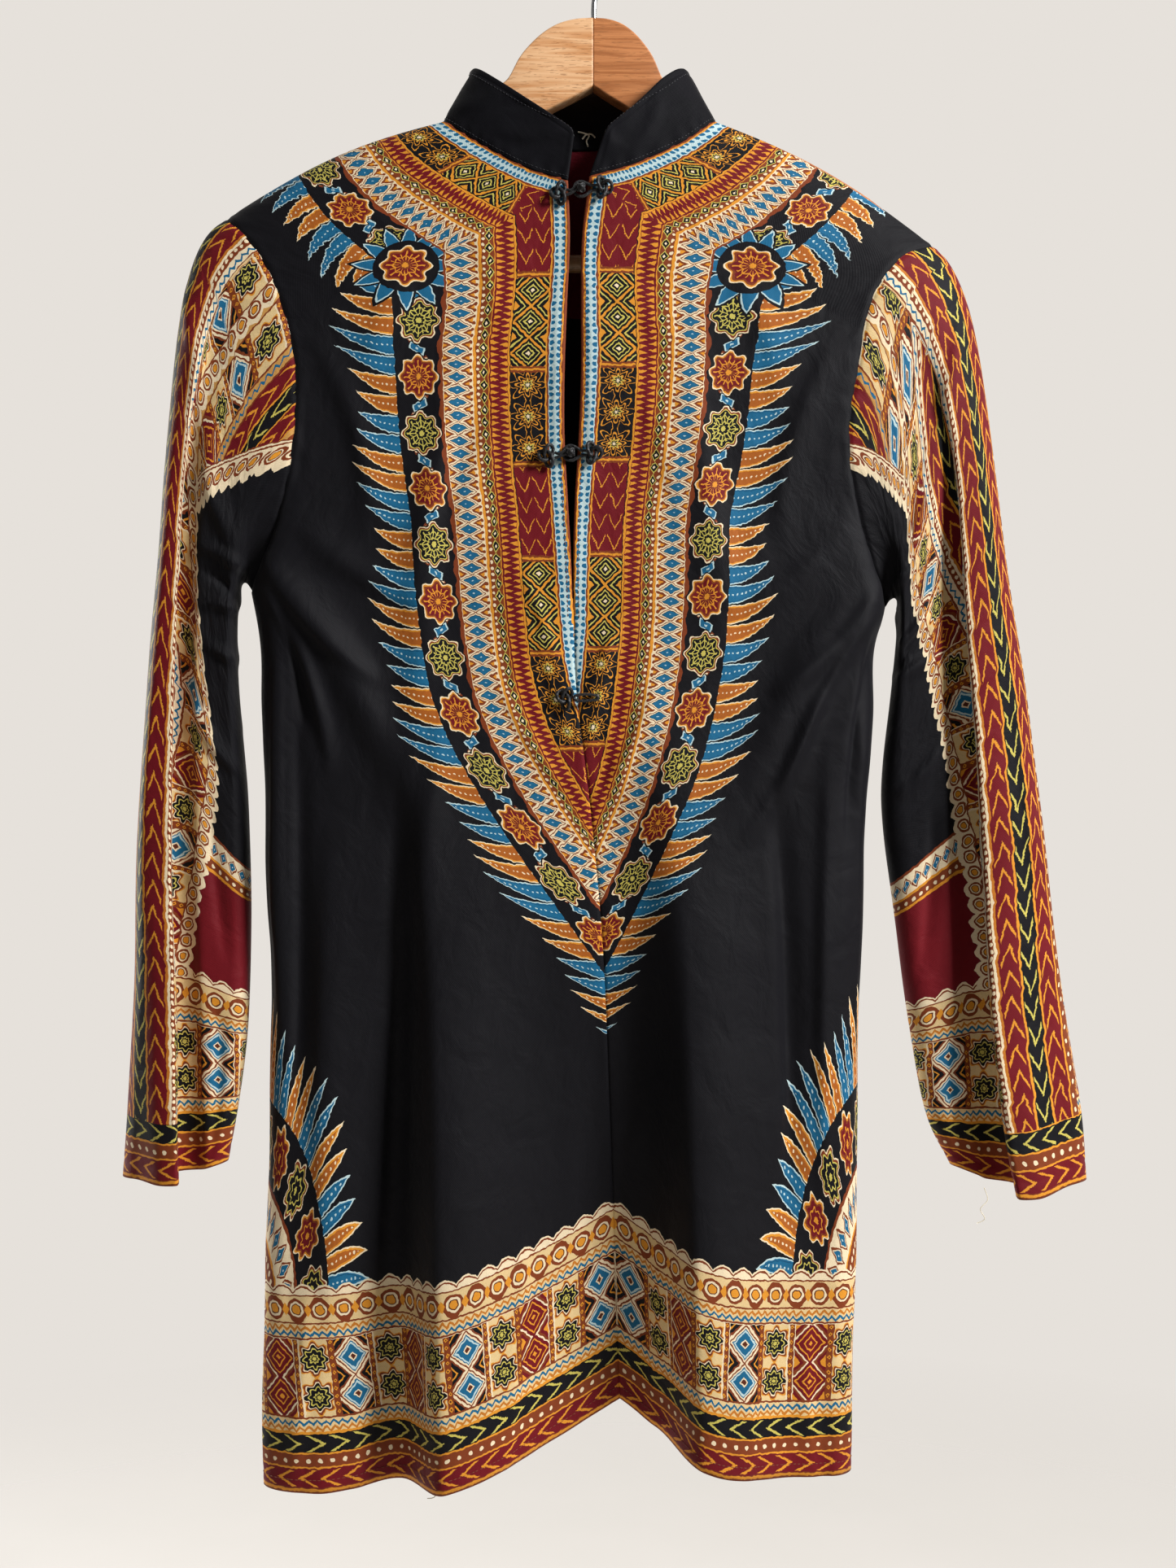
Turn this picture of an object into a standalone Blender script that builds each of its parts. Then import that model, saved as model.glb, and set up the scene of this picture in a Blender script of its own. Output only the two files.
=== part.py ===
# Dashiki tunic with a stand collar, a frogged front slit and flared sleeves, on a wooden hanger.
# The origin is where a rod carries the hook. Front faces -Y, +Z is up, the wearer's right is at -X.
# All sizes and tables are in millimetres and become metres when a mesh is made.

import math

import bpy
import numpy as np

MM = 0.001

# Driving dimensions
CLOTH = 1.2               # wall of the cotton
COLLAR_CLOTH = 2.0        # the collar is two layers of cotton
SEAM = 0.3                # gap between two pieces at a seam
SEAT = 0.6                # gap between the hanger and the cloth that lies on it
SHOULDER_BOW = 9.0        # rise of the shoulder line above its straight chord
SIDE_ROLL = 17.0          # width over which the cloth turns round at a side seam
GARMENT_MIDDLE = -10.0    # middle of the neck, a little off the hanger's middle
CORNER_ROW = 6.0          # row of the panels where the neckline meets the front edge
ARM_ROW = 12.0            # row of the panels at the underarm
HEM_ROW = 23.0            # row of the panels at the hem
ARMHOLE_STEPS = 16        # steps from the shoulder seam to the underarm
SIDE_STEPS = 11           # steps from the underarm to the hem
SLEEVE_ROW = 18.0         # row of a sleeve at its cuff
SLEEVE_STEPS = 17
WOOD_HALF = 7.0           # half the thickness of the hanger's wood
WOOD_MITRE = -0.5         # where the two arms of the hanger meet
ARM_REACH = 214.0         # from the mitre to the end of an arm
BOOT_LENGTH = 24.0        # length of the deeper end that takes the bar
BOOT_STEP = 0.4           # run of the face where the deeper end begins
BOOT_BOTTOM = -249.0
ARM_EASE = 0.1            # slope by which an arm's end drops away from the cloth
BAR_HEIGHT = -236.0
BAR_RADIUS = 6.0
WIRE_RADIUS = 2.0
HOOK_RADIUS = 22.0
CORD_RADIUS = 1.15        # cord of the frogs
CLOVER_CORD = 0.75        # the cord where it is drawn tight into a clover
KNOT_RADIUS = 3.6
BLACK_COTTON = (0.012, 0.012, 0.016)

# Each panel is a sheet ruled from its outer edge (armhole and side seam) to its inner edge
# (neckline and centre). A table has one record for each row that shapes an edge.
SIDE_COLUMNS = ("row", "z", "front_x", "front_y", "front_face", "back_x", "back_y", "back_face")
LEFT_SIDE = (
    (0, -205, -252.5, 0, 0, -252.5, 0, 0),
    (1, -207, -251.5, -7, -7, -252, 6, 6),
    (2, -213, -247, -13, -13, -249, 10, 10),
    (3, -223, -237, -18, -18, -244, 12, 12),
    (4, -238, -226, -21, -21, -236, 14, 14),
    (5, -257, -216.5, -23, -23, -228, 15, 15),
    (6, -283, -208, -24, -24, -220, 16, 16),
    (7, -312, -202.5, -25, -25, -214, 16, 16),
    (8, -345, -202.5, -25, -25, -212, 16, 16),
    (9, -381, -206.5, -24, -24, -214, 15.5, 16),
    (10, -418, -216, -20.5, -24, -221, 14, 16),
    (11, -448, -228.5, -12, -25, -230, 9, 16),
    (12, -464, -235, 0, -25, -235, 0, 16),
    (13, -500, -229.5, 0, -25, -229.5, 0, 16),
    (14, -545, -228, 0, -25, -228, 0, 16),
    (16, -640, -226, 0, -24, -226, 0, 17),
    (18, -742, -223, 0, -22, -223, 0, 17),
    (20, -860, -224, 0, -20, -224, 0, 18),
    (22, -1000, -228, 0, -18, -228, 0, 18),
    (23, -1076, -228, 0, -17, -228, 0, 18),
)
RIGHT_SIDE = (
    (0, -224, 235, 0, 0, 235, 0, 0),
    (1, -226, 231, -7, -7, 233.5, 6, 6),
    (2, -230, 220, -13, -13, 229, 10, 10),
    (3, -238, 208, -18, -18, 222, 12, 12),
    (4, -250, 198, -21, -21, 213, 14, 14),
    (5, -266, 189, -23, -23, 204, 15, 15),
    (6, -288, 183, -24, -24, 197, 16, 16),
    (7, -314, 179, -25, -25, 191, 16, 16),
    (8, -343, 174, -25, -25, 187, 16, 16),
    (9, -378, 174, -24, -24, 186, 15.5, 16),
    (10, -417, 182, -20.5, -24, 189, 14, 16),
    (11, -454, 194, -12, -25, 196, 9, 16),
    (12, -474, 200.5, 0, -25, 200.5, 0, 16),
    (13, -505, 194, 0, -25, 194, 0, 16),
    (14, -548, 191.5, 0, -25, 191.5, 0, 16),
    (16, -640, 184, 0, -24, 184, 0, 17),
    (18, -742, 181.5, 0, -22, 181.5, 0, 17),
    (20, -858, 182, 0, -20, 182, 0, 18),
    (22, -992, 178.5, 0, -18, 178.5, 0, 18),
    (23, -1066, 177.5, 0, -17, 177.5, 0, 18),
)
CENTRE_COLUMNS = ("row", "left_x", "left_z", "right_x", "right_z", "front_y", "back_x", "back_y", "back_z")
CENTRE = (
    (0, -104, -138.4, 84, -138.4, 0, 94, 0, -138.4),
    (1, -101.5, -140.5, 81.5, -140.5, -8, 91.5, 6, -139.8),
    (2, -95, -146.5, 75, -146.5, -14, 83, 11, -142),
    (3, -82, -156, 63, -156, -18, 68, 14, -145),
    (4, -64, -167.5, 46, -166, -22, 47, 16.5, -148),
    (5, -42, -179, 24, -176, -25, 24, 18, -150),
    (6, -17.5, -187, -3, -184, -27, 0, 18.5, -151),
    (7, -16.2, -227, -8.2, -227, -27, 0, 19, -190),
    (8, -18.2, -272, -8.8, -272, -27, 0, 19, -235),
    (9, -19.8, -318, -8.8, -318, -27, 0, 19, -282),
    (10, -19.8, -362, -10.5, -362, -27, 0, 19, -330),
    (11, -17.5, -405, -13, -405, -28, 0, 19, -378),
    (12, -15.2, -448, -14, -448, -29, 0, 19, -425),
    (13, -14, -486, -13.2, -486, -28, 0, 19, -470),
    (14, -12.8, -524, -12.1, -524, -27, 0, 19, -516),
    (16, -3.3, -606, -2.7, -606, -24, 0, 20, -614),
    (18, 5.7, -705, 6.3, -705, -18, 0, 20, -712),
    (20, 10.7, -822, 11.3, -822, -9, 0, 21, -820),
    (22, 15.2, -950, 15.8, -950, 0, 0, 21, -938),
    (23, 17.7, -1021, 18.3, -1021, 4, 0, 21, -1003),
)
# A fold runs down a panel from its first place to its last one, across being 0 at the side
# and 1 at the centre. Height is out of the cloth, side and centre are its half widths each way.
FOLD_COLUMNS = ("top_row", "top_across", "low_row", "low_across", "height", "side", "centre")
FRONT_LEFT_FOLDS = (
    (13.0, 0.30, 26.0, 0.15, 12, 0.10, 0.12),
    (14.5, 0.42, 24.0, 0.39, -7, 0.10, 0.05),
    (12.5, 0.50, 24.0, 0.53, 46, 0.09, 0.24),
    (7.0, 0.58, 16.0, 0.50, 5, 0.06, 0.06),
    (10.5, 0.02, 16.5, 0.55, 7, 0.07, 0.07),
)
FRONT_RIGHT_FOLDS = (
    (12.5, 0.70, 24.0, 0.65, 48, 0.32, 0.13),
    (11.0, 0.03, 16.5, 0.52, 6, 0.07, 0.07),
    (6.5, 0.60, 15.0, 0.50, 4, 0.06, 0.07),
)
BACK_LEFT_FOLDS = (
    (13.0, 0.30, 24.5, 0.26, 7, 0.11, 0.13),
    (14.0, 0.66, 24.5, 0.70, 5, 0.10, 0.12),
)
BACK_RIGHT_FOLDS = (
    (13.5, 0.38, 24.5, 0.34, 6, 0.12, 0.12),
    (12.5, 0.72, 24.5, 0.76, 7, 0.10, 0.12),
)
ACROSS = (0, 0.012, 0.035, 0.08, 0.15, 0.25, 0.36, 0.48, 0.6, 0.72, 0.84, 0.93, 1)

# A sleeve is a row of rings from the armhole to the cuff, each hung between the fold along the
# top of the arm (out) and the seam under it (in). The crest is the long fold down its front.
SLEEVE_COLUMNS = ("row", "out_x", "out_z", "in_x", "in_z", "front", "back", "crest_at", "crest", "drop")
LEFT_SLEEVE = (
    (0, -252.5, -205, -235, -464, 22, 14, 0.16, 0, 0),
    (2, -270, -231, -242, -488, 21, 14, 0.16, 3, 0),
    (4, -282, -276, -244, -514, 19, 14, 0.17, 6, 0),
    (6, -290, -345, -243.5, -544, 17, 14, 0.18, 9, 0),
    (8, -298, -430, -240.5, -582, 15, 14, 0.20, 13, 0),
    (10, -307, -528, -238, -625, 13, 14, 0.25, 16, 0),
    (12, -314, -632, -236.5, -688, 12, 14, 0.30, 19, 0),
    (14, -316, -730, -238.5, -756, 12, 14, 0.36, 22, 1),
    (16, -321, -814, -245, -814, 12, 15, 0.46, 25, 3),
    (18, -324.5, -864, -252, -854, 12, 15, 0.56, 28, 5),
)
RIGHT_SLEEVE = (
    (0, 235, -224, 200.5, -474, 22, 14, 0.20, 0, 0),
    (2, 250, -254, 205.5, -498, 21, 14, 0.21, 3, 0),
    (4, 264, -300, 204, -523, 19, 14, 0.23, 6, 0),
    (6, 273, -360, 201, -552, 17, 14, 0.26, 9, 0),
    (8, 283, -436, 198.5, -588, 15, 14, 0.30, 13, 0),
    (10, 297, -527, 200.5, -632, 13, 14, 0.34, 16, 0),
    (12, 310, -628, 208.5, -695, 12, 14, 0.40, 19, 0),
    (14, 322, -733, 218, -764, 12, 14, 0.46, 22, 2),
    (16, 335.5, -816, 229.5, -822, 12, 15, 0.50, 25, 6),
    (18, 339.5, -866, 246, -856, 12, 15, 0.53, 28, 12),
)
SLEEVE_BLEND = 9.0        # rows over which the armhole's own curve dies out
SLEEVE_START = 7.0        # how far each row first moves square to the armhole
ARMHOLE_GAP = 0.6         # along the smoothed direction, about 0.3 square to the seam
SLEEVE_ROLL = 0.14        # share of a sleeve's width that turns round at each edge

# The collar's top edge above each row of the neckline.
COLLAR_COLUMNS = ("row", "left_x", "left_z", "right_x", "right_z", "front_y", "back_x", "back_y", "back_z")
COLLAR_TOP = (
    (0, -84.7, -102.5, 64.7, -102.5, 0, 74.7, 0, -102.5),
    (1, -81.5, -104, 61.5, -104, -8, 72, 7, -102.5),
    (2, -75, -109, 55.5, -108, -15, 66, 12, -103),
    (3, -63, -118, 46, -116, -20, 54, 15.5, -105),
    (4, -48, -129, 35, -128, -24, 37, 18, -107.5),
    (5, -31, -141, 24, -139, -27, 18, 20, -109),
    (6, -13, -154, 8.5, -152, -29, 0, 20.5, -110),
)
COLLAR_STEPS = 3

# The hump of the hanger, from the mitre outwards: distance, top and underside.
HUMP_COLUMNS = ("out", "top", "under")
HUMP = (
    (0, -68, -116),
    (13, -69, -123),
    (27, -73.5, -130),
    (41, -84, -137.5),
    (51, -96, -143),
    (58, -109, -146.5),
    (67, -116, -151.5),
    (82, -131, -159.5),
)
HUMP_NECK = 103.5         # distance from the mitre to the neck that the hump is drawn for
ARM_DEPTH = 31.0          # height of an arm's wood beyond the hump

# Frogs: centres of the clover at each side and of the knot between them.
FROG_COLUMNS = ("name", "left_x", "left_z", "knot_x", "knot_z", "right_x", "right_z")
FROGS = (
    ("frog_1", -23.5, -197, -8.6, -194, 6.5, -193),
    ("frog_2", -31.5, -374, -15.6, -372, -0.5, -372),
)
BAR_FROG = {"clover_x": -19.5, "clover_z": -537, "end_x": 1.0, "bar_z": -537}
CLOVER_SIZE = 6.4         # from a clover's middle to its farthest edge
CLOVER_SCALE = (CLOVER_SIZE - CLOVER_CORD) / 3
STEM_HALF = 1.6           # half the width of a frog's pair of cords
BALL_SET = 0.6            # how far a knot stands in front of its stem


def table(columns, rows):
    """A dictionary of arrays, one for each named column."""
    return {name: np.array([row[i] for row in rows]) for i, name in enumerate(columns)}


def hermite(stations, values, at):
    """Smooth curve through the values, its slope at each station taken from the neighbours."""
    stations = np.asarray(stations, float)
    values = np.asarray(values, float)
    slopes = np.gradient(values, stations)
    at = np.clip(np.asarray(at, float), stations[0], stations[-1])
    k = np.clip(np.searchsorted(stations, at, side="right") - 1, 0, len(stations) - 2)
    width = stations[k + 1] - stations[k]
    t = (at - stations[k]) / width
    return ((2 * t ** 3 - 3 * t ** 2 + 1) * values[k]
            + (t ** 3 - 2 * t ** 2 + t) * width * slopes[k]
            + (3 * t ** 2 - 2 * t ** 3) * values[k + 1]
            + (t ** 3 - t ** 2) * width * slopes[k + 1])


def column(source, name, at, corner=None):
    """One column of a table read at any row, with a sharp turn at the corner's row if any."""
    rows = source["row"]
    if corner is None or rows[-1] <= corner:
        return hermite(rows, source[name], at)
    above = rows <= corner
    below = rows >= corner
    return np.where(np.asarray(at) <= corner,
                    hermite(rows[above], source[name][above], at),
                    hermite(rows[below], source[name][below], at))


def smooth(x):
    x = np.clip(x, 0, 1)
    return x * x * (3 - 2 * x)


def quarter_roll(x):
    """Rises from 0 to 1 as a quarter of a circle does, then stays."""
    return np.sqrt(np.clip(1 - (1 - np.clip(x, 0, 1)) ** 2, 0, 1))


def fold_height(folds, row, across):
    """Sum of a panel's folds: each has a soft crest with its own half width to either side."""
    total = np.zeros(np.broadcast(row, across).shape)
    for fold in folds:
        f = dict(zip(FOLD_COLUMNS, fold))
        along = (row - f["top_row"]) / (f["low_row"] - f["top_row"])
        middle = f["top_across"] + (f["low_across"] - f["top_across"]) * along
        off = across - middle
        width = np.where(off < 0, f["side"], f["centre"])
        if f["low_row"] >= HEM_ROW:
            strength = smooth(along)
        else:
            strength = np.sin(np.pi * np.clip(along, 0, 1)) ** 2
        total += f["height"] * strength * np.exp(-(off / width) ** 2)
    return total


def panel_points(side, hand, face, folds, rows, across):
    """Points of a half panel: rows by places across, from the outer edge to the inner edge."""
    edge = table(SIDE_COLUMNS, side)
    centre = table(CENTRE_COLUMNS, CENTRE)
    row, place = np.meshgrid(rows, across, indexing="ij")
    out_x = column(edge, face + "_x", row, ARM_ROW)
    out_y = column(edge, face + "_y", row, ARM_ROW)
    out_z = column(edge, "z", row, ARM_ROW)
    face_y = column(edge, face + "_face", row)
    if face == "front":
        in_x = column(centre, hand + "_x", row, CORNER_ROW)
        in_z = column(centre, hand + "_z", row, CORNER_ROW)
        outward = -1
    else:
        sign = -1 if hand == "left" else 1
        in_x = GARMENT_MIDDLE + sign * column(centre, "back_x", row, CORNER_ROW)
        in_z = column(centre, "back_z", row, CORNER_ROW)
        outward = 1
    in_y = column(centre, face + "_y", row, CORNER_ROW)
    x = out_x + (in_x - out_x) * place
    lift = 1 + 1.6 * smooth((row - ARM_ROW) / (HEM_ROW - ARM_ROW))
    z = out_z + (in_z - out_z) * place ** lift
    bow = np.cos(0.5 * np.pi * np.clip(row / 8, 0, 1)) ** 2
    z = z + SHOULDER_BOW * bow * np.sin(np.pi * place)
    roll = quarter_roll(place * np.abs(in_x - out_x) / SIDE_ROLL)
    y = face_y + (in_y - face_y) * place + (out_y - face_y) * (1 - roll)
    seam_fade = smooth(place / 0.1) * smooth((1 - place) / 0.12)
    y = y + outward * fold_height(folds, row, place) * seam_fade
    return np.stack([x, y, z], axis=-1)


def panel_rows():
    upper = np.linspace(0, ARM_ROW, ARMHOLE_STEPS + 1)
    lower = np.linspace(ARM_ROW, HEM_ROW, SIDE_STEPS + 1)
    return np.concatenate([upper, lower[1:]])


def grid_normals(points, closed=False):
    """Unit normals of a grid of points, from the run of its rows and columns."""
    along = np.gradient(points, axis=0)
    if closed:
        round_it = np.roll(points, -1, axis=1) - np.roll(points, 1, axis=1)
    else:
        round_it = np.gradient(points, axis=1)
    n = np.cross(along, round_it)
    return n / np.maximum(np.linalg.norm(n, axis=-1, keepdims=True), 1e-9)


def add_object(name, points, faces, colour, roughness, metallic=0.0, smooth_shade=True):
    """Makes the named object with its own material from points in millimetres."""
    mesh = bpy.data.meshes.new(name)
    mesh.from_pydata((np.asarray(points) * MM).tolist(), [], faces)
    mesh.update()
    if smooth_shade:
        mesh.shade_smooth()
        mesh.set_sharp_from_angle(angle=math.radians(50))
    material = bpy.data.materials.new(name + "_material")
    material.use_nodes = True
    shader = material.node_tree.nodes["Principled BSDF"]
    shader.inputs["Base Color"].default_value = (*colour, 1)
    shader.inputs["Roughness"].default_value = roughness
    shader.inputs["Metallic"].default_value = metallic
    mesh.materials.append(material)
    obj = bpy.data.objects.new(name, mesh)
    bpy.context.scene.collection.objects.link(obj)
    return obj


def grid_quads(index, closed=False):
    """Quads between the neighbours of a grid of point numbers."""
    spans = index.shape[1] if closed else index.shape[1] - 1
    here = index[:, :spans]
    after = np.roll(index, -1, axis=1)[:, :spans]
    quads = np.stack([here[:-1], here[1:], after[1:], after[:-1]], axis=-1)
    return [tuple(quad) for quad in quads.reshape(-1, 4).tolist()]


def wall_faces(quads, count):
    """Both faces of a wall and its edges; the inner points follow the outer ones."""
    used = set()
    for quad in quads:
        used.update(zip(quad, quad[1:] + quad[:1]))
    faces = list(quads)
    faces += [tuple(count + i for i in reversed(quad)) for quad in quads]
    faces += [(b, a, count + a, count + b) for a, b in used if (b, a) not in used]
    return faces


def signed_volume(points, faces):
    total = 0.0
    for face in faces:
        for i in range(1, len(face) - 1):
            a, b, c = points[face[0]], points[face[i]], points[face[i + 1]]
            total += np.dot(a, np.cross(b, c))
    return total


def add_wall(name, points, normals, thickness, quads, colour, roughness):
    """A cloth wall: the given outer points, and inner points moved in by the thickness."""
    points = points.reshape(-1, 3)
    both = np.concatenate([points, points - normals.reshape(-1, 3) * thickness])
    faces = sorted(wall_faces(quads, len(points)))
    if signed_volume(both, faces) < 0:
        faces = [tuple(reversed(face)) for face in faces]
    return add_object(name, both, faces, colour, roughness)


def shirt_grid(side, hand, face, folds):
    """Outer points and outward normals of one half panel, drawn back from its seams."""
    points = panel_points(side, hand, face, folds, panel_rows(), np.array(ACROSS))
    normals = grid_normals(points)
    outward = np.array([0, -1.0 if face == "front" else 1.0, 0])
    if np.sum(normals * outward) < 0:
        normals = -normals
    inset = points.copy()
    pull = outward * SEAM / 2
    inset[0] += pull
    below = panel_rows() >= ARM_ROW
    inset[below, 0] += pull
    return points, inset, normals


def share_seams(front_normals, back_normals):
    """Gives both sides of the shoulder and side seams one normal, so that their edges face."""
    below = panel_rows() >= ARM_ROW
    for where in ((0, slice(None)), (below, 0)):
        both = front_normals[where] + back_normals[where]
        both /= np.linalg.norm(both, axis=-1, keepdims=True)
        front_normals[where] = both
        back_normals[where] = both


def add_back(halves):
    """The back's two halves as one wall: they share the centre below the neckline."""
    left, right = halves["back_inset_left"], halves["back_inset_right"]
    left_normals, right_normals = halves["back_left"][1], halves["back_right"][1]
    index = np.arange(left[..., 0].size).reshape(left.shape[:2])
    other = index + index.size
    joined = panel_rows() >= CORNER_ROW
    other[joined, -1] = index[joined, -1]
    both = left_normals[joined, -1] + right_normals[joined, -1]
    left_normals[joined, -1] = both / np.linalg.norm(both, axis=-1, keepdims=True)
    quads = grid_quads(index) + [quad[::-1] for quad in grid_quads(other)]
    points = np.concatenate([left.reshape(-1, 3), right.reshape(-1, 3)])
    normals = np.concatenate([left_normals.reshape(-1, 3), right_normals.reshape(-1, 3)])
    numbers = sorted({i for quad in quads for i in quad})
    renumber = {old: new for new, old in enumerate(numbers)}
    quads = [tuple(renumber[i] for i in quad) for quad in quads]
    add_wall("back", points[numbers], normals[numbers], CLOTH, quads, BLACK_COTTON, 0.8)


def make_body():
    """Two fronts and a back; returns the outer points and normals of the four half panels."""
    halves = {}
    for hand, side, front_folds, back_folds in (
            ("left", LEFT_SIDE, FRONT_LEFT_FOLDS, BACK_LEFT_FOLDS),
            ("right", RIGHT_SIDE, FRONT_RIGHT_FOLDS, BACK_RIGHT_FOLDS)):
        front = shirt_grid(side, hand, "front", front_folds)
        back = shirt_grid(side, hand, "back", back_folds)
        share_seams(front[2], back[2])
        index = np.arange(front[1][..., 0].size).reshape(front[1].shape[:2])
        add_wall("front_" + hand, front[1], front[2], CLOTH, grid_quads(index), BLACK_COTTON, 0.8)
        halves["front_" + hand] = (front[0], front[2])
        halves["back_" + hand] = (back[0], back[2])
        halves["back_inset_" + hand] = back[1]
    add_back(halves)
    return halves


def sleeve_section(data, row, share, face):
    """Depth of a sleeve's cloth at a share of its width, 0 at the top of the arm."""
    roll = np.minimum(quarter_roll(share / SLEEVE_ROLL), quarter_roll((1 - share) / SLEEVE_ROLL))
    if face == "back":
        return column(data, "back", row) * roll
    off = share - column(data, "crest_at", row)
    crest = np.exp(-np.where(off < 0, off / 0.34, off / 0.10) ** 2)
    return -(column(data, "front", row) + column(data, "crest", row) * crest) * roll


def seam_away(seam, normals, inward):
    """Directions in the cloth, about square to the armhole seam and away from the panels."""
    run = np.roll(seam, -1, axis=0) - np.roll(seam, 1, axis=0)
    away = np.cross(normals, run) * (1, 0, 1)
    away /= np.linalg.norm(away, axis=-1, keepdims=True)
    for _ in range(3):
        away = (np.roll(away, 1, axis=0) + 2 * away + np.roll(away, -1, axis=0)) / 4
    away /= np.linalg.norm(away, axis=-1, keepdims=True)
    return away if np.sum(away * inward) < 0 else -away


def sleeve_rings(data, seam, away, rows):
    """Rings that leave the armhole square to its seam and turn into flat folded sections."""
    count = len(seam)
    half = count // 2
    place = np.arange(count)
    share = (1 - np.cos(np.pi * place / half)) / 2
    row, s = np.meshgrid(rows, share, indexing="ij")
    is_front = np.broadcast_to(place <= half, row.shape)
    x = column(data, "out_x", row) + (column(data, "in_x", row) - column(data, "out_x", row)) * s
    z = column(data, "out_z", row) + (column(data, "in_z", row) - column(data, "out_z", row)) * s
    y = np.where(is_front, sleeve_section(data, row, s, "front"), sleeve_section(data, row, s, "back"))
    off = s - column(data, "crest_at", row)
    z = z - np.where(is_front, column(data, "drop", row) * np.exp(-(off / 0.3) ** 2), 0)
    section = np.stack([x, y, z], axis=-1)
    start = seam[None] + away[None] * (ARMHOLE_GAP + SLEEVE_START * row[..., None])
    turn = smooth(row / SLEEVE_BLEND)[..., None]
    return start + (section - start) * turn


def make_sleeve(name, records, front, back):
    """A closed tube of rings that starts a seam's gap outside the armhole of both panels."""
    data = table(SLEEVE_COLUMNS, records)
    rows = np.concatenate([[0, 1.6, 3.2], np.linspace(4.6, SLEEVE_ROW, SLEEVE_STEPS - 2)])
    upto = ARMHOLE_STEPS + 1

    def round_the_arm(grid, place):
        return np.concatenate([front[grid][:upto, place], back[grid][:upto, place][-2:0:-1]])

    seam = round_the_arm(0, 0)
    seam_normals = round_the_arm(1, 0)
    for end in (0, ARMHOLE_STEPS):
        both = front[1][end, 0] + back[1][end, 0]
        seam_normals[end] = both / np.linalg.norm(both)
    away = seam_away(seam, seam_normals, round_the_arm(0, 1) - seam)
    ring = sleeve_rings(data, seam, away, rows)
    normals = grid_normals(ring, closed=True)
    inside = ring.mean(axis=1, keepdims=True) - ring
    if np.sum(normals * inside) > 0:
        normals = -normals
    normals[0] = seam_normals
    index = np.arange(ring[..., 0].size).reshape(ring.shape[:2])
    add_wall(name, ring, normals, CLOTH, grid_quads(index, True), (0.15, 0.03, 0.02), 0.8)


def make_collar():
    """A standing band from the left front corner round the back to the right front corner."""
    neck = table(CENTRE_COLUMNS, CENTRE)
    top = table(COLLAR_COLUMNS, COLLAR_TOP)
    rows = panel_rows()
    rows = rows[rows <= CORNER_ROW]

    def edge(source, side, at):
        if side == "back_left" or side == "back_right":
            sign = -1 if side == "back_left" else 1
            x = GARMENT_MIDDLE + sign * column(source, "back_x", at, CORNER_ROW)
            return np.stack([x, column(source, "back_y", at, CORNER_ROW),
                             column(source, "back_z", at, CORNER_ROW)], axis=-1)
        return np.stack([column(source, side + "_x", at, CORNER_ROW),
                         column(source, "front_y", at, CORNER_ROW),
                         column(source, side + "_z", at, CORNER_ROW)], axis=-1)

    def whole(source):
        return np.concatenate([edge(source, "left", rows[::-1]),
                               edge(source, "back_left", rows[1:]),
                               edge(source, "back_right", rows[-2::-1]),
                               edge(source, "right", rows[1:])])

    bottom, upper = whole(neck), whole(top)
    rise = upper - bottom
    length = np.linalg.norm(rise, axis=-1, keepdims=True)
    bottom = bottom + rise / length * SEAM * 1.5
    shares = np.linspace(0, 1, COLLAR_STEPS + 1)[:, None, None]
    points = bottom[None] + (upper - bottom)[None] * shares
    for end, inward in ((0, 1), (-1, -1)):
        points[-1, end] = points[-1, end] * 0.7 + points[-1, end + inward] * 0.3
        points[-1, end] -= (0, 0, 2)
    normals = grid_normals(points) * (1, 1, 0)
    normals /= np.linalg.norm(normals, axis=-1, keepdims=True)
    outside = points - np.array([GARMENT_MIDDLE, 0, -130])
    if np.sum(normals * outside) < 0:
        normals = -normals
    index = np.arange(points[..., 0].size).reshape(points.shape[:2])
    add_wall("collar", points, normals, COLLAR_CLOTH, grid_quads(index), BLACK_COTTON, 0.75)


def ridge_height(side, hand, x):
    """Height of the shoulder seam above a place across the garment."""
    edge = table(SIDE_COLUMNS, side)
    centre = table(CENTRE_COLUMNS, CENTRE)
    out_x, out_z = edge["front_x"][0], edge["z"][0]
    in_x, in_z = centre[hand + "_x"][0], centre[hand + "_z"][0]
    places = np.array(ACROSS)
    xs = out_x + (in_x - out_x) * places
    zs = out_z + (in_z - out_z) * places + SHOULDER_BOW * np.sin(np.pi * places)
    order = np.argsort(xs)
    return np.interp(x, xs[order], zs[order])


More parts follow.
